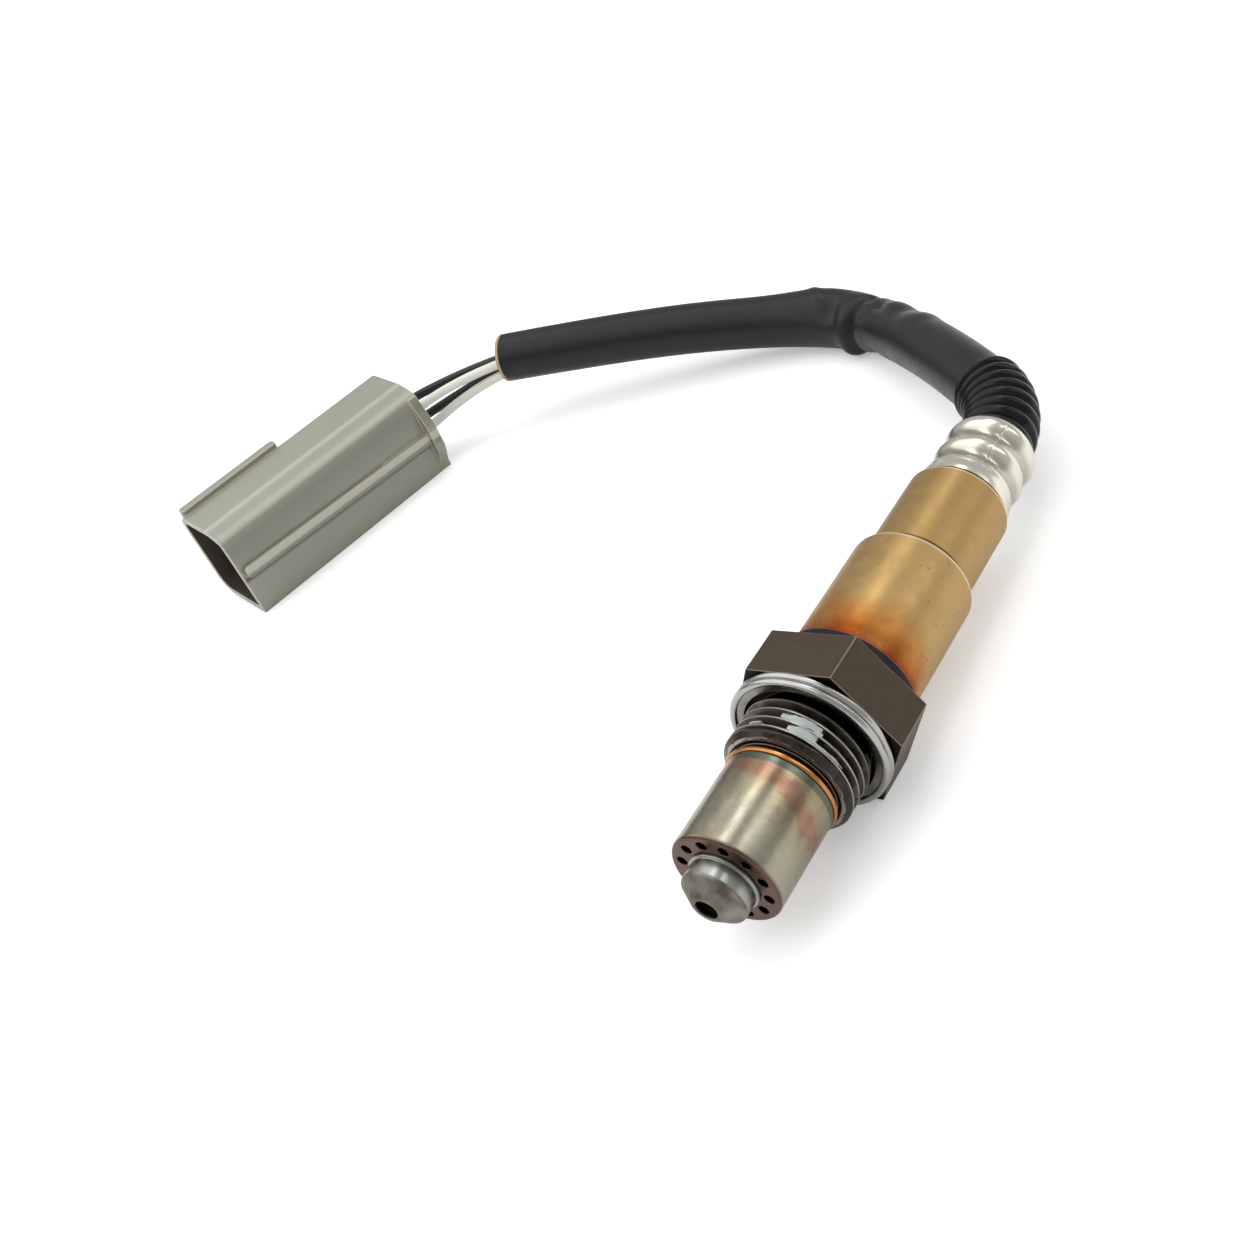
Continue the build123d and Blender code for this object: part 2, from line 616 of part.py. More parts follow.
# ======================================================== shell and ferrule ===
with BuildPart() as protective_shell:
    with BuildSketch(Plane.XY):
        with BuildLine():
            Polyline(
                (0, SHELL_FRONT),
                (SHELL_LOWER_RADIUS, SHELL_FRONT),
                (SHELL_LOWER_RADIUS, SHELL_STEP),
                (SHELL_UPPER_RADIUS, SHELL_STEP),
                (SHELL_UPPER_RADIUS, SHELL_BACK),
                (0, SHELL_BACK),
                close=True,
            )
        make_face()
    revolve(axis=Axis.Y)
    step_rim = (
        protective_shell.edges()
        .filter_by(GeomType.CIRCLE)
        .group_by(SortBy.RADIUS)[-1]
        .sort_by(Axis.Y)[-1]
    )
    fillet(step_rim, radius=SHELL_STEP_RADIUS)
    ends = protective_shell.faces().filter_by(Axis.Y).group_by(Axis.Y)
    offset(amount=-SHELL_WALL, openings=[ends[0][0], ends[-1][0]])
    lip = (
        protective_shell.edges()
        .filter_by(GeomType.CIRCLE)
        .group_by(Axis.Y)[-1]
        .sort_by(SortBy.RADIUS)[-1]
    )
    fillet(lip, radius=SHELL_LIP_RADIUS)
save(protective_shell, "protective_shell")


def ferrule_wave(inset):
    """Points of the ferrule's crimped stretch, moved in by inset."""
    wave = [
        (FERRULE_BASE_RADIUS, FERRULE_SKIRT_BACK),
        (BULGE_RADIUS, (FERRULE_SKIRT_BACK + GROOVE_B) / 2),
        (GROOVE_RADIUS, GROOVE_B),
        (BULGE_RADIUS, BULGE_B),
        (GROOVE_RADIUS, GROOVE_A),
        (BULGE_RADIUS, BULGE_A),
        (FERRULE_RIM_RADIUS, FERRULE_BACK),
    ]
    return [(radius - inset, y) for radius, y in wave]


with BuildPart() as crimp_ferrule:
    outer_wave = ferrule_wave(0)
    inner_wave = ferrule_wave(FERRULE_WALL)
    with BuildSketch(Plane.XY):
        with BuildLine():
            Polyline(
                inner_wave[0],
                (FERRULE_BASE_RADIUS - FERRULE_WALL, FERRULE_FRONT),
                (FERRULE_BASE_RADIUS, FERRULE_FRONT),
                outer_wave[0],
            )
            Spline(*outer_wave, tangents=((0, 1), (-1, 1)))
            Line(outer_wave[-1], inner_wave[-1])
            Spline(*inner_wave, tangents=((0, 1), (-1, 1)))
        make_face()
    revolve(axis=Axis.Y)
save(crimp_ferrule, "crimp_ferrule")

# ================================================ contacts inside the shell ===
HOLDER_SLOT_WIDTH = ELEMENT_WIDTH + 2 * SLOT_CLEARANCE
HOLDER_SLOT_HEIGHT = ELEMENT_THICKNESS + 2 * CONTACT_THICKNESS + 4 * CONTACT_FIT
CONTACT_LEVEL = (ELEMENT_THICKNESS + CONTACT_THICKNESS) / 2 + CONTACT_FIT
with BuildPart() as contact_holder:
    with BuildSketch(station(HOLDER_FRONT)):
        Circle(HOLDER_RADIUS)
    extrude(amount=HOLDER_BACK - HOLDER_FRONT)
    chamfer(contact_holder.edges().filter_by(GeomType.CIRCLE), length=HOLDER_CHAMFER)
    with BuildSketch(station(HOLDER_FRONT)):
        Rectangle(HOLDER_SLOT_WIDTH, HOLDER_SLOT_HEIGHT)
    extrude(amount=ELEMENT_BACK - HOLDER_FRONT + HOLDER_SLOT_SPARE, mode=Mode.SUBTRACT)
    with BuildSketch(station(HOLDER_BACK)):
        with GridLocations(2 * CONTACT_LANE, 2 * CONTACT_LANE, 2, 2):
            Circle(CRIMP_TAIL_RADIUS + CORE_CLEARANCE)
    extrude(amount=ELEMENT_BACK - HOLDER_BACK, mode=Mode.SUBTRACT)
save(contact_holder, "contact_holder")

with BuildPart() as holder_clip:
    with BuildSketch(station(CLIP_FRONT)):
        Circle(HOLDER_RADIUS + CLIP_WALL + CORE_CLEARANCE)
        Circle(HOLDER_RADIUS + CORE_CLEARANCE, mode=Mode.SUBTRACT)
        with Locations((0, HOLDER_RADIUS)):
            Rectangle(CLIP_GAP, HOLDER_RADIUS, mode=Mode.SUBTRACT)
    extrude(amount=CLIP_LENGTH)
save(holder_clip, "holder_clip")

CONTACT_FRONT = HOLDER_FRONT + CONTACT_INSET
with BuildPart() as contact_springs:
    with BuildSketch(station(CONTACT_FRONT)):
        with GridLocations(1.5 * CONTACT_LANE, 2 * CONTACT_LEVEL, 2, 2):
            Rectangle(CONTACT_WIDTH, CONTACT_THICKNESS)
    extrude(amount=ELEMENT_BACK - CONTACT_FRONT)
save(contact_springs, "contact_springs")

with BuildPart() as wire_crimps:
    with BuildSketch(station(HOLDER_BACK)):
        with GridLocations(2 * CONTACT_LANE, 2 * CONTACT_LANE, 2, 2):
            Circle(CRIMP_RADIUS)
    extrude(amount=WIRE_START - HOLDER_BACK)
    with BuildSketch(station(HOLDER_BACK)):
        with GridLocations(2 * CONTACT_LANE, 2 * CONTACT_LANE, 2, 2):
            Circle(CRIMP_TAIL_RADIUS)
    extrude(amount=ELEMENT_BACK - HOLDER_BACK)
save(wire_crimps, "wire_crimps")

with BuildPart() as grommet:
    with BuildSketch(station(GROMMET_FRONT)):
        Circle(GROMMET_RADIUS)
    extrude(amount=GROMMET_BACK - GROMMET_FRONT)
    with BuildSketch(station(BULGE_B - GROMMET_BEAD_LENGTH / 2)):
        Circle(GROMMET_BEAD_RADIUS)
    extrude(amount=GROMMET_BEAD_LENGTH)
    bead = grommet.edges().filter_by(GeomType.CIRCLE).group_by(SortBy.RADIUS)[-1]
    fillet(bead, radius=BEAD_EDGE_RADIUS)
    with BuildSketch(station(GROMMET_FRONT)):
        with GridLocations(2 * CONTACT_LANE, 2 * CONTACT_LANE, 2, 2):
            Circle(WIRE_RADIUS + WIRE_FIT)
    extrude(amount=GROMMET_BACK - GROMMET_FRONT, mode=Mode.SUBTRACT)
save(grommet, "grommet")

# ========================================================= corrugated boot ===
with BuildPart() as cable_boot:
    with BuildSketch(station(BOOT_BASE_FRONT)):
        Circle(BOOT_BASE_RADIUS)
    extrude(amount=FERRULE_BACK - BOOT_BASE_FRONT)
    with BuildSketch(station(BULGE_A - BOOT_FLANGE_LENGTH / 2)):
        Circle(BOOT_FLANGE_RADIUS)
    extrude(amount=BOOT_FLANGE_LENGTH)
    flange_rims = cable_boot.edges().filter_by(GeomType.CIRCLE).group_by(SortBy.RADIUS)[-1]
    fillet(flange_rims, radius=BOOT_FLANGE_EDGE)

    bend_end = bend_point(BEND_ANGLE)
    bend_heading = bend_section(BEND_ANGLE).y_dir
    with BuildLine() as bend_line:
        RadiusArc((0, BEND_START, 0), bend_end, -BEND_RADIUS)
    with BuildSketch(station(BEND_START)):
        Circle(BOOT_CORE_RADIUS)
    sweep(path=bend_line.line)
    with BuildSketch(Plane(origin=bend_end, z_dir=bend_heading)):
        Circle(NIPPLE_RADIUS)
    extrude(amount=NIPPLE_LENGTH)

    rib_step = (BOOT_LAST_RIB_ANGLE - BOOT_FIRST_RIB_ANGLE) / (BOOT_RIB_COUNT - 1)
    for rib in range(BOOT_RIB_COUNT):
        section = bend_section(BOOT_FIRST_RIB_ANGLE + rib * rib_step)
        foot = BOOT_CORE_RADIUS - BOOT_RIB_ROOT
        with BuildSketch(section):
            with BuildLine():
                ThreePointArc(
                    (foot, -BOOT_RIB_WIDTH / 2),
                    (BOOT_RIB_RADIUS, 0),
                    (foot, BOOT_RIB_WIDTH / 2),
                )
                Line((foot, BOOT_RIB_WIDTH / 2), (foot, -BOOT_RIB_WIDTH / 2))
            make_face()
        revolve(axis=Axis(section.origin, section.y_dir))

    nipple_end = bend_end + bend_heading * NIPPLE_LENGTH
    with BuildLine() as bore_line:
        Line((0, BOOT_BASE_FRONT, 0), (0, BEND_START, 0))
        RadiusArc((0, BEND_START, 0), bend_end, -BEND_RADIUS)
        Line(bend_end, nipple_end)
    with BuildSketch(station(BOOT_BASE_FRONT)):
        Circle(BOOT_BORE)
    sweep(path=bore_line.line, mode=Mode.SUBTRACT)
save(cable_boot, "cable_boot")

# ======================================================= sleeve and wires ===
sleeve_points = [Vector(*point) for point in SLEEVE_ROUTE]
report_bends("cable_sleeve", sleeve_points, 2 * SLEEVE_RADIUS)
with BuildPart() as cable_sleeve:
    with BuildLine() as sleeve_line:
        FilletPolyline(*sleeve_points, radius=cord_radii(sleeve_points))
    with BuildSketch(Plane(origin=sleeve_line.line @ 0, z_dir=sleeve_line.line % 0)):
        Circle(SLEEVE_RADIUS)
        Circle(SLEEVE_BORE, mode=Mode.SUBTRACT)
    sweep(path=sleeve_line.line)
sleeve_area = pi * (SLEEVE_RADIUS**2 - SLEEVE_BORE**2)
report_volume("cable_sleeve", cable_sleeve, sleeve_area, sleeve_line.wire().length)
save(cable_sleeve, "cable_sleeve")

for label, (side, rise) in WIRES.items():
    lane_points = wire_points(side, rise)
    report_bends(label, lane_points, 2 * WIRE_RADIUS)
    with BuildPart() as wire:
        with BuildLine() as wire_line:
            FilletPolyline(*lane_points, radius=cord_radii(lane_points))
        with BuildSketch(Plane(origin=wire_line.line @ 0, z_dir=wire_line.line % 0)):
            Circle(WIRE_RADIUS)
        sweep(path=wire_line.line)
    report_volume(label, wire, pi * WIRE_RADIUS**2, wire_line.wire().length)
    save(wire, label)

# =================================================================== plug ===
PLUG_UP = plug_plane(0).y_dir
PLUG_RIGHT = plug_plane(0).x_dir
FLANGE_FRONT = PLUG_LENGTH - FLANGE_THICKNESS
REAR_POCKET_FRONT = PLUG_LENGTH - REAR_POCKET_DEPTH


def side_rib(side):
    """Outline of the rib along one side of the plug, from its mouth to the flange."""
    face = plug_face(side * PLUG_WIDTH / 2, 0, PLUG_RIGHT * side)
    front = side * RIB_FRONT_LEVEL
    back = side * RIB_BACK_LEVEL
    with BuildSketch(face) as rib_sketch:
        with BuildLine():
            Polyline(
                (RIB_FRONT, front - RIB_WIDTH / 2),
                (FLANGE_FRONT, back - RIB_WIDTH / 2),
                (FLANGE_FRONT, back + RIB_WIDTH / 2),
                (RIB_FRONT, front + RIB_WIDTH / 2),
                close=True,
            )
        make_face()
        tip = rib_sketch.vertices().sort_by(Axis.X)[:2]
        fillet(tip, radius=RIB_WIDTH * 0.4)
    return rib_sketch.sketch


def raised_rib(outline, height):
    """Rib on an outline, with its crest rounded."""
    outwards = outline.face().normal_at()
    with BuildPart() as rib:
        extrude(outline, amount=height)
        crest = rib.faces().sort_by(lambda face: face.center().dot(outwards))[-1]
        fillet(crest.edges(), radius=RIB_CREST_RADIUS)
    return rib.part


def way_grid(depth, width, height):
    """One rectangle for each of the plug's four ways, at a depth from its mouth."""
    with BuildSketch(plug_plane(depth)) as grid:
        with Locations((0, -CAVITY_DROP)):
            with GridLocations(CAVITY_PITCH, CAVITY_PITCH, 2, 2):
                Rectangle(width, height)
    return grid.sketch


with BuildPart() as connector_housing:
    with BuildSketch(plug_plane(PLUG_LENGTH)):
        add(plug_outline())
    extrude(amount=PLUG_LENGTH)
    with BuildSketch(plug_plane(PLUG_LENGTH)):
        add(flange_outline())
    extrude(amount=FLANGE_THICKNESS)
    add(raised_rib(side_rib(1), RIB_HEIGHT))
    add(raised_rib(side_rib(-1), SIDE_RIB_HEIGHT))

    top_left = -PLUG_WIDTH / 2 + TOP_RIB_WIDTH / 2
    with BuildSketch(plug_face(top_left, PLUG_HEIGHT / 2 - PLUG_CORNER, PLUG_UP)):
        with Locations(((TOP_RIB_FRONT + TOP_RIB_BACK) / 2, 0)):
            RectangleRounded(TOP_RIB_BACK - TOP_RIB_FRONT, TOP_RIB_WIDTH, TOP_RIB_WIDTH * 0.4)
    extrude(amount=PLUG_CORNER + TOP_RIB_HEIGHT)

    rail_place = -PLUG_WIDTH / 2 + RAIL_INSET + RAIL_WIDTH / 2
    with BuildSketch(plug_face(rail_place, -PLUG_HEIGHT / 2 + PLUG_LOWER_CORNER, PLUG_UP * -1)):
        with Locations(((RAIL_FRONT + RAIL_BACK) / 2, 0)):
            RectangleRounded(RAIL_BACK - RAIL_FRONT, RAIL_WIDTH, RAIL_WIDTH * 0.3)
    extrude(amount=PLUG_LOWER_CORNER + RAIL_HEIGHT)

    with BuildSketch(plug_plane(MOUTH_DEPTH)):
        add(plug_outline(PLUG_WALL))
    extrude(amount=MOUTH_DEPTH, mode=Mode.SUBTRACT)
    with BuildSketch(plug_plane(PLUG_LENGTH)):
        add(plug_outline(PLUG_WALL))
    extrude(amount=REAR_POCKET_DEPTH, mode=Mode.SUBTRACT)
    cavities = way_grid(REAR_POCKET_FRONT, CAVITY_SIZE, CAVITY_SIZE)
    extrude(cavities, amount=REAR_POCKET_FRONT - MOUTH_DEPTH, mode=Mode.SUBTRACT)
save(connector_housing, "connector_housing")

with BuildPart() as terminal_lock:
    with BuildSketch(plug_plane(MOUTH_DEPTH)):
        add(plug_outline(PLUG_WALL + PLUG_FIT))
    extrude(amount=LOCK_THICKNESS)
    pin_slots = way_grid(MOUTH_DEPTH, PIN_WIDTH + 2 * PLUG_FIT, PIN_THICKNESS + 2 * PLUG_FIT)
    extrude(pin_slots, amount=LOCK_THICKNESS, mode=Mode.SUBTRACT)
save(terminal_lock, "terminal_lock")

PIN_SHOULDER = MOUTH_DEPTH + PLUG_FIT
with BuildPart() as terminal_pins:
    bodies = way_grid(PIN_BODY_END, PIN_BODY_SIZE, PIN_BODY_SIZE)
    extrude(bodies, amount=PIN_BODY_END - PIN_SHOULDER)
    blades = way_grid(PIN_SHOULDER, PIN_WIDTH, PIN_THICKNESS)
    extrude(blades, amount=PIN_SHOULDER - PIN_TIP)
save(terminal_pins, "terminal_pins")


def rear_plate(front, length, hole_radius):
    """Plate across the plug's rear pocket with a hole for each wire."""
    with BuildPart() as plate:
        with BuildSketch(plug_plane(front + length)):
            add(plug_outline(PLUG_WALL + PLUG_FIT))
            with Locations((0, -CAVITY_DROP)):
                with GridLocations(CAVITY_PITCH, CAVITY_PITCH, 2, 2):
                    Circle(hole_radius, mode=Mode.SUBTRACT)
        extrude(amount=length)
    return plate


wire_seal = rear_plate(REAR_POCKET_FRONT, SEAL_LENGTH, WIRE_RADIUS + WIRE_FIT)
save(wire_seal, "wire_seal")

RETAINER_FRONT = REAR_POCKET_FRONT + SEAL_LENGTH
seal_retainer = rear_plate(RETAINER_FRONT, RETAINER_THICKNESS, WIRE_RADIUS + RETAINER_FIT)
save(seal_retainer, "seal_retainer")
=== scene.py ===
"""Looks of a heated oxygen sensor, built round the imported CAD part.

Lengths are millimetres in the row frame until a mesh is made: +Y runs along the sensor from its vented nose
to the lead, +Z is up and the origin lies on the axis in the plane of the hexagon's front face.
"""

from __future__ import annotations

import logging
import math
from collections.abc import Callable, Sequence
from dataclasses import dataclass, field
from enum import Enum
from types import SimpleNamespace

import bmesh
import bpy
import numpy as np
from mathutils import Matrix, Vector

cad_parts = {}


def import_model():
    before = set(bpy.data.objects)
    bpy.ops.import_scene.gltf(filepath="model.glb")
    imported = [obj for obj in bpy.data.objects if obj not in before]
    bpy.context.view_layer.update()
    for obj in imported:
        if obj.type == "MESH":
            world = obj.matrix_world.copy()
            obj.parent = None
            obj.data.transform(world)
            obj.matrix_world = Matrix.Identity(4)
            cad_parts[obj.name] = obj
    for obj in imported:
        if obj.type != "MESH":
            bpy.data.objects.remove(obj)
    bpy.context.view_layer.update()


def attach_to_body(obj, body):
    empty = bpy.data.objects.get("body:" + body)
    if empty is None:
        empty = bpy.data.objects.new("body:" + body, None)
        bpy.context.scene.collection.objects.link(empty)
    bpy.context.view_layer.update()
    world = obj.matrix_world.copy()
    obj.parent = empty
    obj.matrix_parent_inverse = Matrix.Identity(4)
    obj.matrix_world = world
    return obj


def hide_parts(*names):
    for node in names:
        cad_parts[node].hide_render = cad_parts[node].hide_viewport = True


MM = 0.001
BODY = "root"
FLOOR = -11.0
PURE_WHITE = (1.0, 1.0, 1.0, 1.0)

Colour = tuple[float, float, float, float]
Point = tuple[float, float, float]
Shape = Callable[[np.ndarray, np.ndarray], np.ndarray]

# Places that more than one piece or finish keeps to.
THREAD_FRONT = -8.75
THREAD_LAND = -7.8
GASKET_LIFT = 0.3
HEXAGON_BACK = 7.6
SHELL_STEP = 30.65
SHELL_BACK = 46.96
PLUG_MOUTH: Point = (-157.62, 25.55, -0.144)

log = logging.getLogger("oxygen_sensor")


def tone(red: float, green: float, blue: float) -> Colour:
    """Turns an sRGB triple from 0 to 255 into a linear colour.

    Args:
        red: Red share.
        green: Green share.
        blue: Blue share.

    Returns:
        The linear colour with full alpha.
    """
    shares = [channel / 255 for channel in (red, green, blue)]
    linear = [((s + 0.055) / 1.055) ** 2.4 if s > 0.04045 else s / 12.92 for s in shares]
    return linear[0], linear[1], linear[2], 1.0


# ------------------------------------------------------------------- nodes ---
@dataclass(frozen=True)
class Band:
    """Stretch of some measure, with soft ends."""

    low: float
    high: float
    soft: float


class Term:
    """Number in a node tree; plain operators join it to others."""

    def __init__(self, net: Net, socket: bpy.types.NodeSocket) -> None:
        """Keeps the socket and the net that it belongs to."""
        self.net = net
        self.socket = socket

    def __add__(self, other: Term | float) -> Term:
        """Sum of this number and another."""
        return self.net.math("ADD", self, other)

    def __sub__(self, other: Term | float) -> Term:
        """This number less another."""
        return self.net.math("SUBTRACT", self, other)

    def __rsub__(self, other: float) -> Term:
        """A plain number less this one."""
        return self.net.math("SUBTRACT", other, self)

    def __mul__(self, other: Term | float) -> Term:
        """Product of this number and another."""
        return self.net.math("MULTIPLY", self, other)

    def __truediv__(self, other: Term | float) -> Term:
        """This number divided by another."""
        return self.net.math("DIVIDE", self, other)

    def __pow__(self, power: float) -> Term:
        """This number raised to a power."""
        return self.net.math("POWER", self, power)

    def __abs__(self) -> Term:
        """This number without its sign."""
        return self.net.math("ABSOLUTE", self)

    def __lt__(self, other: Term | float) -> Term:
        """1 where this number is the lesser, 0 elsewhere."""
        return self.net.math("LESS_THAN", self, other)

    def __gt__(self, other: Term | float) -> Term:
        """1 where this number is the greater, 0 elsewhere."""
        return self.net.math("GREATER_THAN", self, other)


class Net:
    """Adds nodes to a shader or geometry tree and links them in the same call."""

    def __init__(self, tree: bpy.types.NodeTree) -> None:
        """Keeps the tree that the nodes go into."""
        self.tree = tree

    def add(self, kind: str, inputs: dict | None = None, **settings: object) -> bpy.types.Node:
        """Adds one node.

        Args:
            kind: Blender's name of the node type.
            inputs: Value, term, socket or node for each input, by name or index.
            **settings: Properties of the node.

        Returns:
            The new node.
        """
        node = self.tree.nodes.new(kind)
        for name, value in settings.items():
            setattr(node, name, value)
        for key, value in (inputs or {}).items():
            self.put(node.inputs[key], value)
        return node

    def put(self, socket: bpy.types.NodeSocket, value: object) -> None:
        """Links a value's source into an input, or sets the input to it.

        Args:
            socket: The input.
            value: Term, node or socket to link, or a plain value.
        """
        if isinstance(value, Term):
            value = value.socket
        if isinstance(value, bpy.types.Node):
            value = value.outputs[0]
        if isinstance(value, bpy.types.NodeSocket):
            self.tree.links.new(value, socket)
        else:
            socket.default_value = value

    def term(self, kind: str, inputs: dict | None = None, **settings: object) -> Term:
        """Adds one node and returns its first output as a number."""
        return Term(self, self.add(kind, inputs, **settings).outputs[0])

    def math(self, operation: str, *numbers: object) -> Term:
        """Adds a maths node on some numbers and returns its result."""
        return self.term("ShaderNodeMath", dict(enumerate(numbers)), operation=operation)

    def least(self, first: object, second: object) -> Term:
        """The lesser of two numbers."""
        return self.math("MINIMUM", first, second)

    def most(self, first: object, second: object) -> Term:
        """The greater of two numbers."""
        return self.math("MAXIMUM", first, second)

    def circle(self, angle: Term) -> tuple[Term, Term]:
        """Cosine and sine of an angle in radians."""
        return self.math("COSINE", angle), self.math("SINE", angle)

    def blend(self, share: Term, low: Term, high: Term) -> Term:
        """Number that goes from low to high as share goes from 0 to 1."""
        return share * (high - low) + low

    def axes(self, vector: object) -> tuple[Term, Term, Term]:
        """Splits a vector into its x, y and z."""
        x, y, z = self.add("ShaderNodeSeparateXYZ", {0: vector}).outputs
        return Term(self, x), Term(self, y), Term(self, z)

    def span(self, value: object, low: float, high: float, start: float = 0.0, end: float = 1.0) -> Term:
        """Maps low..high smoothly to start..end."""
        inputs = {"Value": value, "From Min": low, "From Max": high, "To Min": start, "To Max": end}
        return self.term("ShaderNodeMapRange", inputs, interpolation_type="SMOOTHSTEP")

    def fall(self, value: object, low: float, high: float) -> Term:
        """1 below low, fading to 0 at high."""
        return self.span(value, low, high, 1.0, 0.0)

    def window(self, value: object, band: Band) -> Term:
        """1 inside a band and 0 outside it."""
        rise = self.span(value, band.low - band.soft, band.low + band.soft)
        return rise * self.fall(value, band.high - band.soft, band.high + band.soft)


class Paint(Net):
    """Shader tree of one finish, in Object coordinates."""

    def __init__(self, name: str, **sockets: object) -> None:
        """Makes the material with its surface shader.

        Args:
            name: The material's name.
            **sockets: Values for the surface shader's inputs, spaces written as underscores.
        """
        self.material = bpy.data.materials.new(name)
        self.material.use_nodes = True
        super().__init__(self.material.node_tree)
        self.tree.nodes.clear()
        inputs = {key.replace("_", " "): value for key, value in sockets.items()}
        self.surface = self.add("ShaderNodeBsdfPrincipled", inputs)
        self.add("ShaderNodeOutputMaterial", {"Surface": self.surface})
        self.place = self.add("ShaderNodeTexCoord").outputs["Object"]
        self.x, self.y, self.z = (axis / MM for axis in self.axes(self.place))

    def radius(self, height: float = 0.0) -> Term:
        """Distance from the sensor's axis, or from a line at some height above it."""
        return self.math("SQRT", self.x**2.0 + (self.z - height) ** 2.0)

    def around(self) -> Term:
        """Angle about the sensor's axis in degrees, from +X up to +Z."""
        return self.math("DEGREES", self.math("ARCTAN2", self.z, self.x))

    def from_y(self, low: float, high: float) -> Term:
        """0 up to station low, rising to 1 at station high."""
        return self.span(self.y, low, high)

    def until_y(self, low: float, high: float) -> Term:
        """1 up to station low, fading to 0 at station high."""
        return self.fall(self.y, low, high)

    def dot(self, axis: Sequence[float]) -> Term:
        """Measures how far the shaded point lies along an axis.

        Args:
            axis: Unit vector of the axis.

        Returns:
            The distance from the origin.
        """
        inputs = {0: self.place, 1: tuple(float(part) for part in axis)}
        node = self.add("ShaderNodeVectorMath", inputs, operation="DOT_PRODUCT")
        return Term(self, node.outputs["Value"]) / MM

    def noise(self, scale: float, detail: float = 3.0, stretch: Point = (1, 1, 1)) -> Term:
        """Soft random share from 0 to 1.

        Args:
            scale: Waves per metre.
            detail: Octaves of finer waves.
            stretch: How close the waves lie along x, y and z.

        Returns:
            The share.
        """
        place = self.add("ShaderNodeVectorMath", {0: self.place, 1: stretch}, operation="MULTIPLY")
        inputs = {"Vector": place, "Scale": scale, "Detail": detail, "Roughness": 0.55}
        return self.term("ShaderNodeTexNoise", inputs)

    def spots(self, scale: float, size: float, keep: float) -> Term:
        """Share that is 1 inside scattered small pits and 0 elsewhere.

        Args:
            scale: Cells per metre.
            size: Pit radius as a share of a cell.
            keep: Share of the cells that hold a pit.

        Returns:
            The share.
        """
        cells = self.add("ShaderNodeTexVoronoi", {"Vector": self.place, "Scale": scale})
        near = self.fall(cells.outputs["Distance"], size * 0.5, size)
        pick = self.term("ShaderNodeSeparateColor", {0: cells.outputs["Color"]})
        return near * (pick < keep)

    def over(self, colour: object, shade: object, share: Term) -> bpy.types.NodeSocket:
        """Lays a shade over a colour where share says."""
        inputs = {0: share, 6: colour, 7: shade}
        return self.add("ShaderNodeMix", inputs, data_type="RGBA").outputs[2]

    def relief(self, height: Term, depth: float, strength: float = 1.0) -> None:
        """Adds relief on top of any there is.

        Args:
            height: Share of the depth at each point.
            depth: Depth in metres, negative for pits.
            strength: How much of it shows.
        """
        inputs = {"Height": height, "Distance": depth, "Strength": strength}
        normal = self.surface.inputs["Normal"]
        if normal.is_linked:
            inputs["Normal"] = normal.links[0].from_socket
        self.put(normal, self.add("ShaderNodeBump", inputs))


class Graph(Net):
    """Geometry Nodes tree with named sizes, baked to a plain mesh."""

    def __init__(self, name: str) -> None:
        """Makes an empty tree with its group input and output.

        Args:
            name: Name of the tree.
        """
        super().__init__(bpy.data.node_groups.new(name, "GeometryNodeTree"))
        face = self.tree.interface
        face.new_socket("Geometry", in_out="OUTPUT", socket_type="NodeSocketGeometry")
        self.inlet = self.add("NodeGroupInput")
        self.outlet = self.add("NodeGroupOutput")
        self.values: dict[str, object] = {}

    def size(self, name: str, value: float | int) -> Term:
        """Declares a named input of the tree.

        Args:
            name: Name of the input.
            value: What the input is set to.

        Returns:
            The input as a number.
        """
        kind = "NodeSocketInt" if isinstance(value, int) else "NodeSocketFloat"
        socket = self.tree.interface.new_socket(name, in_out="INPUT", socket_type=kind)
        self.values[socket.identifier] = value
        return Term(self, self.inlet.outputs[name])

    def sizes(self, **values: float | int) -> SimpleNamespace:
        """Declares several named inputs and returns their numbers by name."""
        return SimpleNamespace(**{name: self.size(name, value) for name, value in values.items()})

    def vector(self, x: object, y: object, z: object) -> bpy.types.Node:
        """Joins three numbers into a vector."""
        return self.add("ShaderNodeCombineXYZ", {0: x, 1: y, 2: z})

    def bake(self, name: str, geometry: object, material: bpy.types.Material) -> bpy.types.Object:
        """Ends the tree and turns its result into a plain mesh object.

        Args:
            name: Name of the piece.
            geometry: Node or socket with the finished geometry.
            material: Finish of the piece.

        Returns:
            The object, with no modifier left.
        """
        real = self.add("GeometryNodeRealizeInstances", {0: geometry})
        dressed = self.add("GeometryNodeSetMaterial", {"Geometry": real, "Material": material})
        self.put(self.outlet.inputs[0], dressed)
        piece = new_object(name, bpy.data.meshes.new(name))
        modifier = piece.modifiers.new(name, "NODES")
        modifier.node_group = self.tree
        for identifier, value in self.values.items():
            modifier[identifier] = value
        settle(piece)
        return piece


# ------------------------------------------------------------------ meshes ---
def new_object(name: str, data: bpy.types.ID | None) -> bpy.types.Object:
    """Links a new object with this data into the scene.

    Args:
        name: Name of the object.
        data: Its mesh, curve, light or camera.

    Returns:
        The object.
    """
    thing = bpy.data.objects.new(name, data)
    bpy.context.scene.collection.objects.link(thing)
    return thing


def settle(piece: bpy.types.Object) -> None:
    """Puts a piece's evaluated mesh in place of its modifiers.

    Args:
        piece: The piece.
    """
    graph = bpy.context.evaluated_depsgraph_get()
    mesh = bpy.data.meshes.new_from_object(piece.evaluated_get(graph))
    mesh.name = piece.name
    piece.modifiers.clear()
    piece.data = mesh


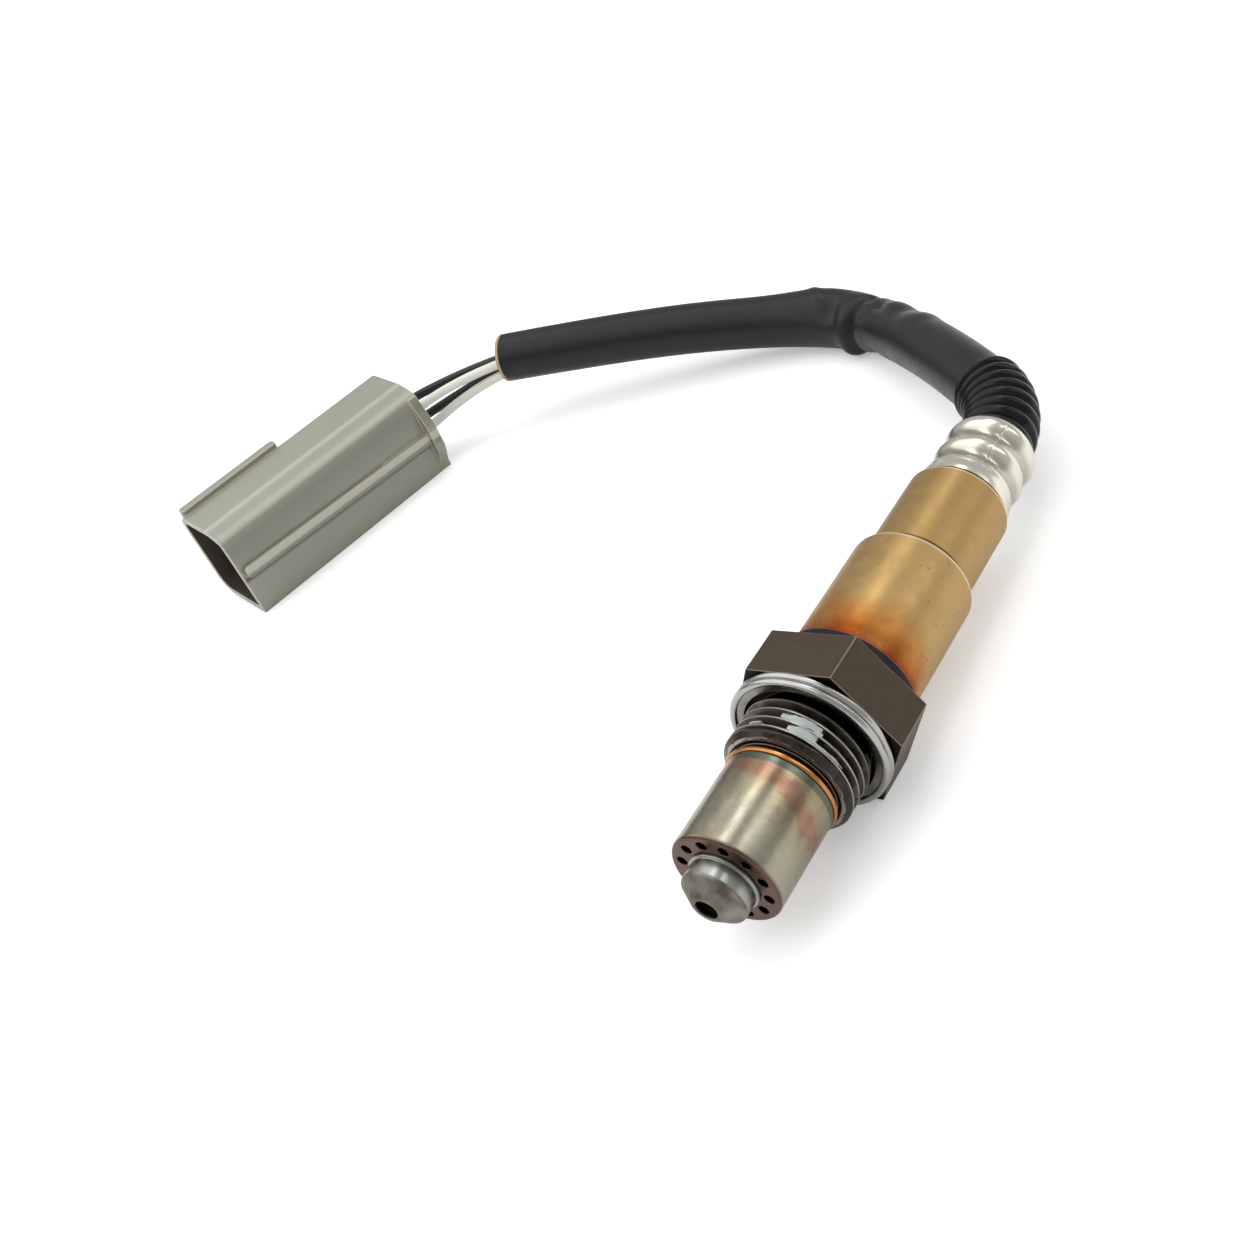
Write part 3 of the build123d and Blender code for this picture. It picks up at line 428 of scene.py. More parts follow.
def smooth(piece: bpy.types.Object, angle: float = 35.0) -> bpy.types.Object:
    """Shades a piece smooth, apart from its sharper edges.

    Args:
        piece: The piece.
        angle: Least angle in degrees between the faces of a sharp edge.

    Returns:
        The piece.
    """
    piece.data.shade_smooth()
    piece.data.set_sharp_from_angle(angle=math.radians(angle))
    return piece


def build_mesh(name: str, points: np.ndarray, faces: Sequence[Sequence[int]]) -> bpy.types.Object:
    """Makes a mesh object from points in millimetres, with merged doubles and outward faces.

    Args:
        name: Name of the piece.
        points: One row of x, y and z for each point.
        faces: Point numbers of each face.

    Returns:
        The new object.
    """
    mesh = bpy.data.meshes.new(name)
    mesh.from_pydata((np.asarray(points) * MM).tolist(), [], [list(face) for face in faces])
    work = bmesh.new()
    work.from_mesh(mesh)
    bmesh.ops.remove_doubles(work, verts=work.verts, dist=1e-6)
    bmesh.ops.dissolve_degenerate(work, edges=work.edges, dist=1e-7)
    bmesh.ops.recalc_face_normals(work, faces=work.faces)
    work.to_mesh(mesh)
    work.free()
    return new_object(name, mesh)


def ring_faces(rows: int, columns: int) -> list[tuple[int, int, int, int]]:
    """Lists the quads of a grid of points that closes on itself both ways.

    Args:
        rows: Rows of points.
        columns: Points in a row.

    Returns:
        Point numbers of each quad.
    """
    faces = []
    for row in range(rows):
        here, above = row * columns, (row + 1) % rows * columns
        for column in range(columns):
            beside = (column + 1) % columns
            faces.append((here + column, here + beside, above + beside, above + column))
    return faces


def rounded(corners: Sequence[tuple[float, ...]], steps: int = 6) -> np.ndarray:
    """Rounds the corners of a closed profile.

    Args:
        corners: Radius, y and, where the corner is rounded, its rounding radius.
        steps: Points on each rounding.

    Returns:
        The profile's points, one row of radius and y for each.
    """
    spots = [(np.array(corner[:2], float), corner[2] if len(corner) > 2 else 0.0) for corner in corners]
    profile = []
    for index, (spot, radius) in enumerate(spots):
        if not radius:
            profile.append(spot)
            continue
        runs = [spots[index - 1][0] - spot, spots[(index + 1) % len(spots)][0] - spot]
        lengths = [float(np.linalg.norm(run)) for run in runs]
        first, second = (run / length for run, length in zip(runs, lengths))
        half = math.acos(max(-1.0, min(1.0, float(first @ second)))) / 2
        cut = min(radius / math.tan(half), 0.49 * min(lengths))
        for share in np.linspace(0, 1, steps):
            start, end = spot + first * cut, spot + second * cut
            profile.append((1 - share) ** 2 * start + 2 * share * (1 - share) * spot + share**2 * end)
    return np.array(profile)


def lathe(name: str, profile: np.ndarray, steps: int = 160, shape: Shape | None = None) -> bpy.types.Object:
    """Turns a closed profile about the sensor's axis.

    Args:
        name: Name of the piece.
        profile: Rows of radius and y.
        steps: Facets in a full turn.
        shape: Gives what is added to the radius at each angle and y.

    Returns:
        The new object.
    """
    angle = np.linspace(0, 2 * math.pi, steps, endpoint=False)[:, None]
    radius, along = profile[:, 0][None, :], profile[:, 1][None, :]
    if shape is not None:
        radius = radius + shape(angle, along)
    across = np.broadcast_to(radius, (steps, profile.shape[0]))
    y = np.broadcast_to(along, across.shape)
    points = np.stack([across * np.cos(angle), y, across * np.sin(angle)], axis=-1).reshape(-1, 3)
    return smooth(build_mesh(name, points, ring_faces(steps, profile.shape[0])))


def cad_copy(
    node: str,
    name: str,
    bevel: float,
    change: Callable[[np.ndarray], None] | None = None,
) -> bpy.types.Object:
    """Copies a CAD node's mesh, merges it and breaks its sharp edges.

    Args:
        node: The CAD node.
        name: Name of the copy.
        bevel: Width of the broken edges, which take the second material.
        change: Changes the copy's points, in millimetres, in place.

    Returns:
        The copy.
    """
    source = bpy.data.objects[node].data
    points = np.zeros(len(source.vertices) * 3)
    source.vertices.foreach_get("co", points)
    points = points.reshape(-1, 3) / MM
    if change is not None:
        change(points)
    mesh = bpy.data.meshes.new(name)
    mesh.from_pydata((points * MM).tolist(), [], [list(face.vertices) for face in source.polygons])
    work = bmesh.new()
    work.from_mesh(mesh)
    bmesh.ops.remove_doubles(work, verts=work.verts, dist=2e-6)
    flat = math.radians(0.5)
    bmesh.ops.dissolve_limit(work, angle_limit=flat, verts=work.verts, edges=work.edges)
    work.to_mesh(mesh)
    work.free()
    for _ in range(2):  # the bevel gives its faces the second slot only if the mesh has one
        mesh.materials.append(None)
    piece = new_object(name, mesh)
    edge = piece.modifiers.new("edges", "BEVEL")
    edge.width, edge.segments = bevel * MM, 3
    edge.limit_method, edge.angle_limit = "ANGLE", math.radians(30)
    edge.material, edge.use_clamp_overlap = 1, False
    settle(piece)
    smooth(piece, 40)
    piece.modifiers.new("normals", "WEIGHTED_NORMAL").keep_sharp = True
    settle(piece)
    return piece


def paint_piece(piece: bpy.types.Object, *materials: bpy.types.Material) -> None:
    """Gives a piece its materials in place of any that it has, face by face.

    Args:
        piece: The piece.
        *materials: Its materials, in the order of the faces' slots.
    """
    faces = piece.data.polygons if piece.type == "MESH" else ()
    slots = [min(face.material_index, len(materials) - 1) for face in faces]
    piece.data.materials.clear()
    for material in materials:
        piece.data.materials.append(material)
    for face, slot in zip(faces, slots):
        face.material_index = slot


def attach(piece: bpy.types.Object, slot: str, *nodes: str) -> None:
    """Fixes a finished piece to the part, in place of CAD nodes.

    Args:
        piece: The piece.
        slot: Name of a material slot; not used.
        *nodes: CAD nodes that it stands for.
    """
    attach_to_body(piece, BODY)
    if nodes:
        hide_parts(*nodes)
    log.info("%s stands for %s", piece.name, ", ".join(nodes) or "no node")


# ---------------------------------------------------------------- finishes ---
@dataclass(frozen=True)
class Finish:
    """Colour, metal and grain of one material; subclasses vary the colour.

    Scales count waves per metre, mottle is a share of the brightness and grain a depth in metres.
    """

    name: str
    colour: Colour
    metal: float = 0.0
    rough: float = 0.5
    mottle: float = 0.08
    mottle_scale: float = 260.0
    grain: float = 0.0
    grain_scale: float = 2500.0
    shine: float = 0.5

    def material(self) -> bpy.types.Material:
        """Builds the material.

        Returns:
            The material.
        """
        paint = Paint(
            self.name,
            Base_Color=self.colour,
            Metallic=self.metal,
            Roughness=self.rough,
            Specular_IOR_Level=self.shine,
        )
        paint.put(paint.surface.inputs["Base Color"], self.tint(paint, self.wander(paint)))
        paint.put(paint.surface.inputs["Roughness"], self.gloss(paint))
        if self.grain:
            paint.relief(paint.noise(self.grain_scale, 4), self.grain)
        self.wear(paint)
        return paint.material

    def wander(self, paint: Paint) -> object:
        """Lets the base colour's brightness change slowly.

        Args:
            paint: The material's shader tree.

        Returns:
            The colour.
        """
        dark = tuple(share * (1 - self.mottle) for share in self.colour[:3]) + (1.0,)
        light = tuple(min(1.0, share * (1 + self.mottle)) for share in self.colour[:3]) + (1.0,)
        return paint.over(dark, light, paint.noise(self.mottle_scale, 4))

    def tint(self, paint: Paint, colour: object) -> object:
        """Colour after heat, dirt and the like; plain here."""
        return colour

    def gloss(self, paint: Paint) -> Term:
        """Roughness that wanders a little about its value."""
        return paint.span(paint.noise(self.mottle_scale * 2), 0.2, 0.8, self.rough * 0.85, self.rough * 1.15)

    def wear(self, paint: Paint) -> None:
        """Adds marks of use; none here."""


@dataclass(frozen=True)
class NoseSteel(Finish):
    """Drawn stainless cup, heat-tinted behind its rim, with painted shade inside its bore."""

    blush_band: Band = Band(-13.7, -10.75, 0.7)
    ring_front: float = -11.35
    face_front: float = -24.35
    bore: float = 7.15
    hot_side: float = 95.0
    sway: float = 4.5
    slope: float = 3.4
    straw_front: float = -19.0
    straw_back: float = -12.5
    blush: Colour = tone(146, 102, 88)
    straw: Colour = tone(150, 136, 104)
    ring_grey: Colour = tone(100, 104, 90)
    # painted shade colour for the inside of the bore
    inside_shade: Colour = tone(20, 14, 12)
    stain: Colour = tone(84, 70, 52)
    face_brown: Colour = tone(104, 84, 78)
    rim_brown: Colour = tone(86, 60, 50)

    def tint(self, paint: Paint, colour: object) -> object:
        """Lays straw, the blush band and the ring over the steel, and paints shade inside the bore.

        Args:
            paint: The material's shader tree.
            colour: The steel's colour.

        Returns:
            The tinted colour.
        """
        sway = (paint.noise(330, 4, (1, 0.6, 1)) - 0.5) * self.sway
        slope = paint.span(abs(paint.around() - self.hot_side), 10.0, 100.0, 0.0, self.slope)
        heat = paint.y + sway + slope
        colour = paint.over(colour, self.straw, paint.span(heat, self.straw_front, self.straw_back) * 0.75)
        cloud = paint.span(paint.noise(620, 4), 0.25, 0.7, 0.55, 1.0)
        colour = paint.over(colour, self.blush, paint.window(heat, self.blush_band) * cloud * 0.85)
        ring = paint.from_y(self.ring_front - 0.15, self.ring_front + 0.1)
        colour = paint.over(colour, self.ring_grey, ring)
        smear = paint.span(paint.noise(230, 5, (1, 0.35, 1)), 0.52, 0.7)
        colour = paint.over(colour, self.stain, smear * 0.35)
        colour = paint.over(colour, self.stain, paint.spots(430, 0.11, 0.12) * 0.7)
        face = paint.until_y(self.face_front, self.face_front + 0.12)
        colour = paint.over(colour, self.face_brown, face * 0.9)
        rim = paint.until_y(self.face_front + 0.05, self.face_front + 0.5)
        colour = paint.over(colour, self.rim_brown, rim * 0.6)
        # painted shade on the bore's inner walls behind the front face
        inside = paint.fall(paint.radius(), self.bore, self.bore + 0.2)
        behind = paint.from_y(self.face_front - 0.06, self.face_front + 0.1)
        return paint.over(colour, self.inside_shade, inside * behind)

    def wear(self, paint: Paint) -> None:
        """Adds drawing lines along the cup and shallow dents."""
        paint.relief(paint.noise(900, 3, (1, 0.04, 1)), 0.00002, 0.5)
        paint.relief(paint.noise(170, 3), 0.00016, 0.4)


@dataclass(frozen=True)
class CupSteel(Finish):
    """Bright inner cup with a browned cone, and painted shade in its gas hole and inside the outer cup."""

    cone_back: float = -27.3
    hidden_front: float = -24.4
    hole: float = 1.5
    browned: Colour = tone(92, 84, 74)
    rim: Colour = tone(140, 136, 126)
    # painted shade colour for the gas hole and the hidden part of the cup
    inside_shade: Colour = tone(26, 14, 11)

    def tint(self, paint: Paint, colour: object) -> object:
        """Browns the cone and paints shade over the gas hole and all that lies inside the outer cup.

        Args:
            paint: The material's shader tree.
            colour: The steel's colour.

        Returns:
            The tinted colour.
        """
        brown = paint.over(self.browned, self.rim, paint.span(paint.noise(420, 5), 0.3, 0.7))
        colour = paint.over(colour, brown, paint.until_y(self.cone_back, self.cone_back + 0.3))
        # painted shade: the gas hole and all that lies behind the outer cup's front face
        bore = paint.fall(paint.radius(), self.hole - 0.15, self.hole + 0.25)
        hidden = paint.from_y(self.hidden_front, self.hidden_front + 0.4)
        return paint.over(colour, self.inside_shade, paint.most(bore, hidden))

    def gloss(self, paint: Paint) -> Term:
        """Roughness, duller on the cone."""
        return paint.span(paint.y, self.cone_back, self.cone_back + 0.3, 0.46, self.rough)

    def wear(self, paint: Paint) -> None:
        """Adds turning marks."""
        paint.relief(paint.noise(900, 2, (0.1, 1, 0.1)), 0.00001, 0.5)


@dataclass(frozen=True)
class GasketSteel(Finish):
    """Folded ring: bright bead, dull streaked face inside it."""

    height: float = GASKET_LIFT
    waist: float = 10.45
    dull: Colour = tone(112, 110, 106)

    def tint(self, paint: Paint, colour: object) -> object:
        """Dulls and streaks the face inside the bead.

        Args:
            paint: The material's shader tree.
            colour: The steel's colour.

        Returns:
            The dulled colour.
        """
        face = paint.fall(paint.radius(self.height), self.waist, self.waist + 0.2)
        streaks = paint.span(paint.noise(500, 4, (1, 0.2, 1)), 0.3, 0.7, 0.6, 1.0)
        return paint.over(colour, self.dull, face * streaks)


@dataclass(frozen=True)
class ThreadSteel(Finish):
    """Dark thread with bright worn crests."""

    crest: float = 8.97
    land: float = THREAD_LAND
    front: float = THREAD_FRONT + 0.03
    worn: Colour = tone(166, 158, 150)
    mud: Colour = tone(44, 38, 34)

    def tint(self, paint: Paint, colour: object) -> object:
        """Browns the flanks in patches and brightens the crests and the front edge.

        Args:
            paint: The material's shader tree.
            colour: The thread's colour.

        Returns:
            The worn colour.
        """
        colour = paint.over(colour, self.mud, paint.span(paint.noise(300, 4), 0.4, 0.65) * 0.7)
        crest = paint.span(paint.radius(), self.crest - 0.05, self.crest + 0.02)
        colour = paint.over(colour, self.worn, crest * paint.from_y(self.land, self.land + 0.1))
        colour = paint.over(colour, self.mud, paint.until_y(self.land - 0.1, self.land) * 0.7)
        return paint.over(colour, self.worn, paint.until_y(self.front, self.front + 0.06))


@dataclass(frozen=True)
class ShellSteel(Finish):
    """Straw-gold shell, burnt orange and red where it meets the hexagon."""

    hot_front: float = 9.9
    hot_side: float = 70.0
    ragged: float = 5.5
    step: float = SHELL_STEP
    back: float = SHELL_BACK
    orange: Colour = tone(182, 112, 40)
    burnt: Colour = tone(142, 66, 20)
    red: Colour = tone(140, 38, 22)
    brown: Colour = tone(176, 144, 92)
    pit: Colour = tone(92, 64, 34)
    # painted highlight colour for the step's rim and the back end
    lip: Colour = tone(236, 216, 184)
    shade: Colour = tone(72, 50, 30)

    def tint(self, paint: Paint, colour: object) -> object:
        """Runs the heat colours up from the hexagon, strongest on one side, dirties the shell, and paints
        highlights on the step's rim and the back end and a shadow line behind the step.

        Args:
            paint: The material's shader tree.
            colour: The shell's colour.

        Returns:
            The tinted colour.
        """
        upper = paint.from_y(self.step - 0.2, self.step + 0.2)
        colour = self.scorch(paint, paint.over(colour, self.brown, upper * 0.7))
        blotch = paint.span(paint.noise(140, 5), 0.52, 0.72)
        colour = paint.over(colour, self.brown, blotch * 0.3)
        pits = paint.most(paint.spots(420, 0.12, 0.3), paint.spots(900, 0.17, 0.25))
        colour = paint.over(colour, self.pit, pits * paint.span(upper, 0.0, 1.0, 0.6, 0.1))
        wide = paint.span(paint.radius(), 8.2, 8.5)
        # painted highlight along the rounded step
        rim = wide * paint.from_y(self.step - 0.8, self.step - 0.4)
        colour = paint.over(colour, self.lip, rim * 0.9)
        # painted shadow line on the narrow shell just behind the step
        foot = paint.window(paint.y, Band(self.step + 0.6, self.step + 1.2, 0.15)) * 0.9
        colour = paint.over(colour, self.shade, foot * paint.fall(wide, 0.0, 1.0))
        # painted highlight on the rolled back end
        end = paint.from_y(self.back - 0.42, self.back - 0.3)
        return paint.over(colour, self.lip, end * 0.8)

    def scorch(self, paint: Paint, colour: object) -> object:
        """Lays the heat colours over the shell's foot.

        Args:
            paint: The material's shader tree.
            colour: The shell's colour.

        Returns:
            The scorched colour.
        """
        heat = paint.span(abs(paint.around() - self.hot_side), 40.0, 105.0, 1.0, 0.25)
        ragged = (paint.noise(240, 5) - 0.5) * self.ragged
        rise = paint.y + ragged - self.hot_front
        reach = rise / (heat + 0.05)
        glow = paint.span(heat, 0.1, 0.6, 0.2, 1.0)
        colour = paint.over(colour, self.orange, paint.fall(reach, 1.4, 10.4) * glow * 0.9)
        colour = paint.over(colour, self.burnt, paint.fall(reach, 0.2, 5.6) * glow * 0.85)
        line = paint.fall(rise - ragged * 0.85, 0.4, 1.3)
        return paint.over(colour, self.red, line * paint.span(heat, 0.1, 0.4, 0.45, 1.0) * 0.85)

    def wear(self, paint: Paint) -> None:
        """Adds swirl scratches, pits and shallow waviness.

        Args:
            paint: The material's shader tree.
        """
        paint.relief(paint.noise(1500, 2, (1, 0.35, 1)), 0.000014, 0.5)
        paint.relief(paint.spots(330, 0.11, 0.3), -0.00005, 0.5)
        paint.relief(paint.noise(90, 2), 0.0001, 0.3)


@dataclass(frozen=True)
class FerruleSteel(Finish):
    """Silver ferrule with painted shade in its grooves and a painted shadow line where it leaves the shell.
    """

    shell_back: float = SHELL_BACK
    crimp_front: float = 49.0
    # painted shade colour for the crimp grooves
    groove_shade: Colour = tone(168, 166, 152)
    # painted shadow colour for the line where the ferrule leaves the shell
    seam: Colour = tone(64, 38, 20)

    def tint(self, paint: Paint, colour: object) -> object:
        """Paints shade in the grooves and a shadow line behind the shell.

        Args:
            paint: The material's shader tree.
            colour: The ferrule's colour.

        Returns:
            The tinted colour.
        """
        # painted shade in the crimp grooves
        grooves = paint.fall(paint.radius(), 6.4, 6.85) * paint.from_y(self.crimp_front, self.crimp_front + 1)
        colour = paint.over(colour, self.groove_shade, grooves * 0.7)
        # painted shadow line behind the shell's end
        return paint.over(colour, self.seam, paint.until_y(self.shell_back + 0.62, self.shell_back + 0.8))


@dataclass(frozen=True)
class HexSteel(Finish):
    """Phosphated body steel: bronze-brown hexagon, painted shade on its front faces, blue-grey collar."""

    back: float = HEXAGON_BACK
    # painted shade colour for the front faces behind the gasket
    face: Colour = tone(36, 28, 23)
    collar: Colour = tone(50, 46, 48)
    nick: Colour = tone(150, 140, 124)

    def nicks(self, paint: Paint) -> Term:
        """Where the flats are nicked."""
        return paint.spots(260, 0.1, 0.3)

    def tint(self, paint: Paint, colour: object) -> object:
        """Paints shade on the front faces, darkens the collar and nicks the flats.

        Args:
            paint: The material's shader tree.
            colour: The hexagon's colour.

        Returns:
            The tinted colour.
        """
        colour = paint.over(colour, self.nick, self.nicks(paint) * 0.6)
        colour = paint.over(colour, self.collar, paint.from_y(self.back + 0.03, self.back + 0.12))
        # painted shade on the front faces
        return paint.over(colour, self.face, paint.until_y(0.02, 0.12))

    def wear(self, paint: Paint) -> None:
        """Adds the fine tooth of the phosphate coat and the nicks' depth."""
        paint.relief(paint.noise(5200, 3), 0.000012, 0.7)
        paint.relief(self.nicks(paint), -0.00004, 0.6)


@dataclass(frozen=True)
class SleeveVinyl(Finish):
    """Satin black lead sleeve with faint dust and scuffs."""

    dust: Colour = tone(84, 82, 78)

    def tint(self, paint: Paint, colour: object) -> object:
        """Lays thin grey dust in soft patches."""
        return paint.over(colour, self.dust, paint.span(paint.noise(55, 5), 0.55, 0.8, 0.0, 0.2))

    def wear(self, paint: Paint) -> None:
        """Adds soft waves."""
        paint.relief(paint.noise(60, 2), 0.0003, 0.25)


@dataclass(frozen=True)
class PlugPlastic(Finish):
    """Grey-green moulding with painted highlights along its crown, shoulder and rib, and painted shade down
    its side and under the rib.
    """

    mouth: Point = PLUG_MOUTH
    right: Point = (0.9620, -0.2542, -0.0995)
    up: Point = (0.0962, -0.0254, 0.9950)
    slope: float = 0.0315
    side_shade: Band = Band(1.6, 7.6, 1.4)
    crown: Band = Band(3.0, 4.2, 0.7)
    shoulder: Band = Band(8.4, 9.2, 0.5)
    rib_highlight: Band = Band(0.2, 2.0, 0.3)
    rib_underside_shade: Band = Band(-1.2, 0.0, 0.3)
    rib_foot_shadow: Band = Band(-1.9, -0.8, 0.5)
    # painted highlight colour
    painted_highlight: Colour = tone(190, 190, 174)
    shade: Colour = tone(104, 102, 86)
    # painted shadow colour for the line under the rib
    painted_shadow: Colour = tone(78, 72, 58)

    def tint(self, paint: Paint, colour: object) -> object:
        """Paints highlights on the two long edges and the rib, painted shade on the side above the rib and on
        the rib's underside, and a painted shadow under the rib.

        Args:
            paint: The material's shader tree.
            colour: The moulding's colour.

        Returns:
            The worn colour.
        """
        across, level, back = (
            paint.dot(axis) - float(np.dot(axis, self.mouth))
            for axis in (self.right, self.up, np.cross(self.up, self.right))
        )
        # painted shade on the side above the rib, darkest just below the shoulder
        side = paint.span(across, 8.0, 8.6)
        side_shade = paint.window(level, self.side_shade) * paint.span(level, 0.8, 7.8, 0.35, 1.0)
        colour = paint.over(colour, self.shade, side * side_shade * 0.6)
        # painted highlights along the crown and the shoulder
        crown = paint.window(across, self.crown) * paint.span(level, 8.5, 9.5)
        shoulder = paint.window(level, self.shoulder) * paint.span(across, 6.0, 7.0)
        colour = paint.over(colour, self.painted_highlight, paint.most(crown, shoulder) * 0.6)
        under = back * self.slope + level
        proud = paint.span(across, 9.4, 9.8)
        # painted highlight on the rib's crest and painted shade on its underside
        colour = paint.over(colour, self.painted_highlight, proud * paint.window(under, self.rib_highlight) * 0.75)
        colour = paint.over(colour, self.shade, proud * paint.window(under, self.rib_underside_shade) * 0.45)
        # painted shadow on the side just under the rib
        foot = paint.window(under, self.rib_foot_shadow) * (1.0 - proud)
        return paint.over(colour, self.painted_shadow, side * foot * 0.9)


class Palette(Enum):
    """Every finish on the object."""

    NOSE = NoseSteel("nose steel", tone(156, 152, 134), metal=1.0, rough=0.27, mottle=0.12)
    CUP = CupSteel("bright cup steel", tone(158, 162, 156), metal=1.0, rough=0.28, mottle=0.06)
    SEAM = Finish("copper seam", tone(190, 130, 76), metal=1.0, rough=0.24, mottle=0.14, mottle_scale=500.0)
    HEXAGON = HexSteel(
        "phosphated steel", tone(86, 75, 63),
        metal=1.0, rough=0.46, mottle=0.12, mottle_scale=900.0,
    )
    # bevelled hexagon edges: wear and a painted highlight, light and not metallic
    HEXAGON_EDGE = Finish("worn hexagon edge", tone(122, 108, 90), mottle=0.4, mottle_scale=900.0)
    THREAD = ThreadSteel(
        "thread steel", tone(98, 94, 90),
        metal=1.0, rough=0.36, mottle=0.2, mottle_scale=500.0,
    )
    PASTE = Finish(
        "silver paste", tone(166, 174, 172),
        metal=0.6, rough=0.45, mottle=0.12, mottle_scale=700.0, grain=0.00006, grain_scale=1400.0,
    )
    GASKET = GasketSteel("gasket steel", tone(174, 173, 170), metal=1.0, rough=0.24, mottle_scale=400.0)
    SHELL = ShellSteel("straw-gold shell", tone(184, 153, 101), metal=1.0, rough=0.44, mottle=0.06)
    FERRULE = FerruleSteel(
        "silver ferrule", tone(226, 222, 206),
        metal=1.0, rough=0.26, mottle=0.05, mottle_scale=200.0, grain=0.00001, grain_scale=900.0,
    )
    BOOT = Finish(
        "boot rubber", tone(9, 9, 10),
        rough=0.24, mottle=0.2, mottle_scale=300.0, grain=0.00001, shine=0.26,
    )
    SLEEVE = SleeveVinyl(
        "sleeve vinyl", tone(23, 23, 24),
        rough=0.4, mottle=0.1, mottle_scale=120.0, grain=0.000008, grain_scale=3500.0, shine=0.3,
    )
    LINING = Finish("tan lining", tone(178, 152, 116), rough=0.7, mottle=0.15, mottle_scale=500.0)
    WHITE = Finish("white insulation", tone(226, 224, 214), rough=0.36, mottle=0.03)
    BLACK = Finish("black insulation", tone(13, 13, 14), rough=0.3, mottle=0.1)
    PLUG = PlugPlastic(
        "plug plastic", tone(144, 144, 130),
        rough=0.32, mottle=0.03, mottle_scale=70.0, shine=0.6,
    )
    # painted highlight on the plug's bevelled edges
    PLUG_EDGE = Finish("plug edge", tone(182, 178, 158), rough=0.32, mottle=0.03)
    # painted shade inside the plug's mouth
    PLUG_INSIDE = Finish("plug inside", tone(66, 60, 50), mottle=0.1)
    LOCK = Finish("lock plastic", tone(196, 192, 178), rough=0.45, mottle=0.04)
    SEAL = Finish("seal silicone", tone(150, 84, 52), mottle=0.05)
    CONTACT = Finish("tinned contact", tone(206, 202, 190), metal=1.0, rough=0.28, mottle=0.05)
    CERAMIC = Finish("core ceramic", tone(226, 222, 212), rough=0.6, mottle=0.04)
    ELEMENT = Finish("element ceramic", tone(196, 190, 178))
    TALC = Finish("pressed talc", tone(170, 170, 160), rough=0.85, mottle=0.1)
    GROMMET = Finish("grommet rubber", tone(30, 30, 32))

    def material(self) -> bpy.types.Material:
        """The finish's material, built on first use."""
        known = bpy.data.materials.get(self.value.name)
        return known or self.value.material()


# -------------------------------------------------------------------- nose ---
@dataclass
class Nose:
    """Vented outer cup, coned inner cup and the seam ring that holds them."""

    edge: float = 0.1
    seam_radius: float = 7.8
    seam_bore: float = 7.35
    seam_front: float = -10.25
    seam_back: float = -9.6
    seam_round: float = 0.3

    def build(self) -> None:
        """Makes the three pieces."""
        for node, name, finish, slot in (
            ("outer_protection_tube", "nose_outer_cup", Palette.NOSE, "nose_steel"),
            ("inner_protection_tube", "nose_inner_cup", Palette.CUP, "bright_steel"),
        ):
            cup = cad_copy(node, name, self.edge)
            paint_piece(cup, finish.material(), finish.material())
            attach(cup, slot, node)
        front, back, rim = self.seam_front, self.seam_back, self.seam_round
        profile = rounded(
            [
                (self.seam_bore, front),
                (self.seam_radius, front, rim),
                (self.seam_radius, back, rim),
                (self.seam_bore, back),
            ]
        )
        ring = lathe("nose_seam_ring", profile)
        paint_piece(ring, Palette.SEAM.material())
        attach(ring, "copper_ring", "tube_seam_ring")


# ----------------------------------------------------------------- housing ---
@dataclass(frozen=True)
class Dab:
    """Patch of paste on the thread: its angle and station, with their half spans."""

    angle: float
    station: float
    half_angle: float
    half_length: float


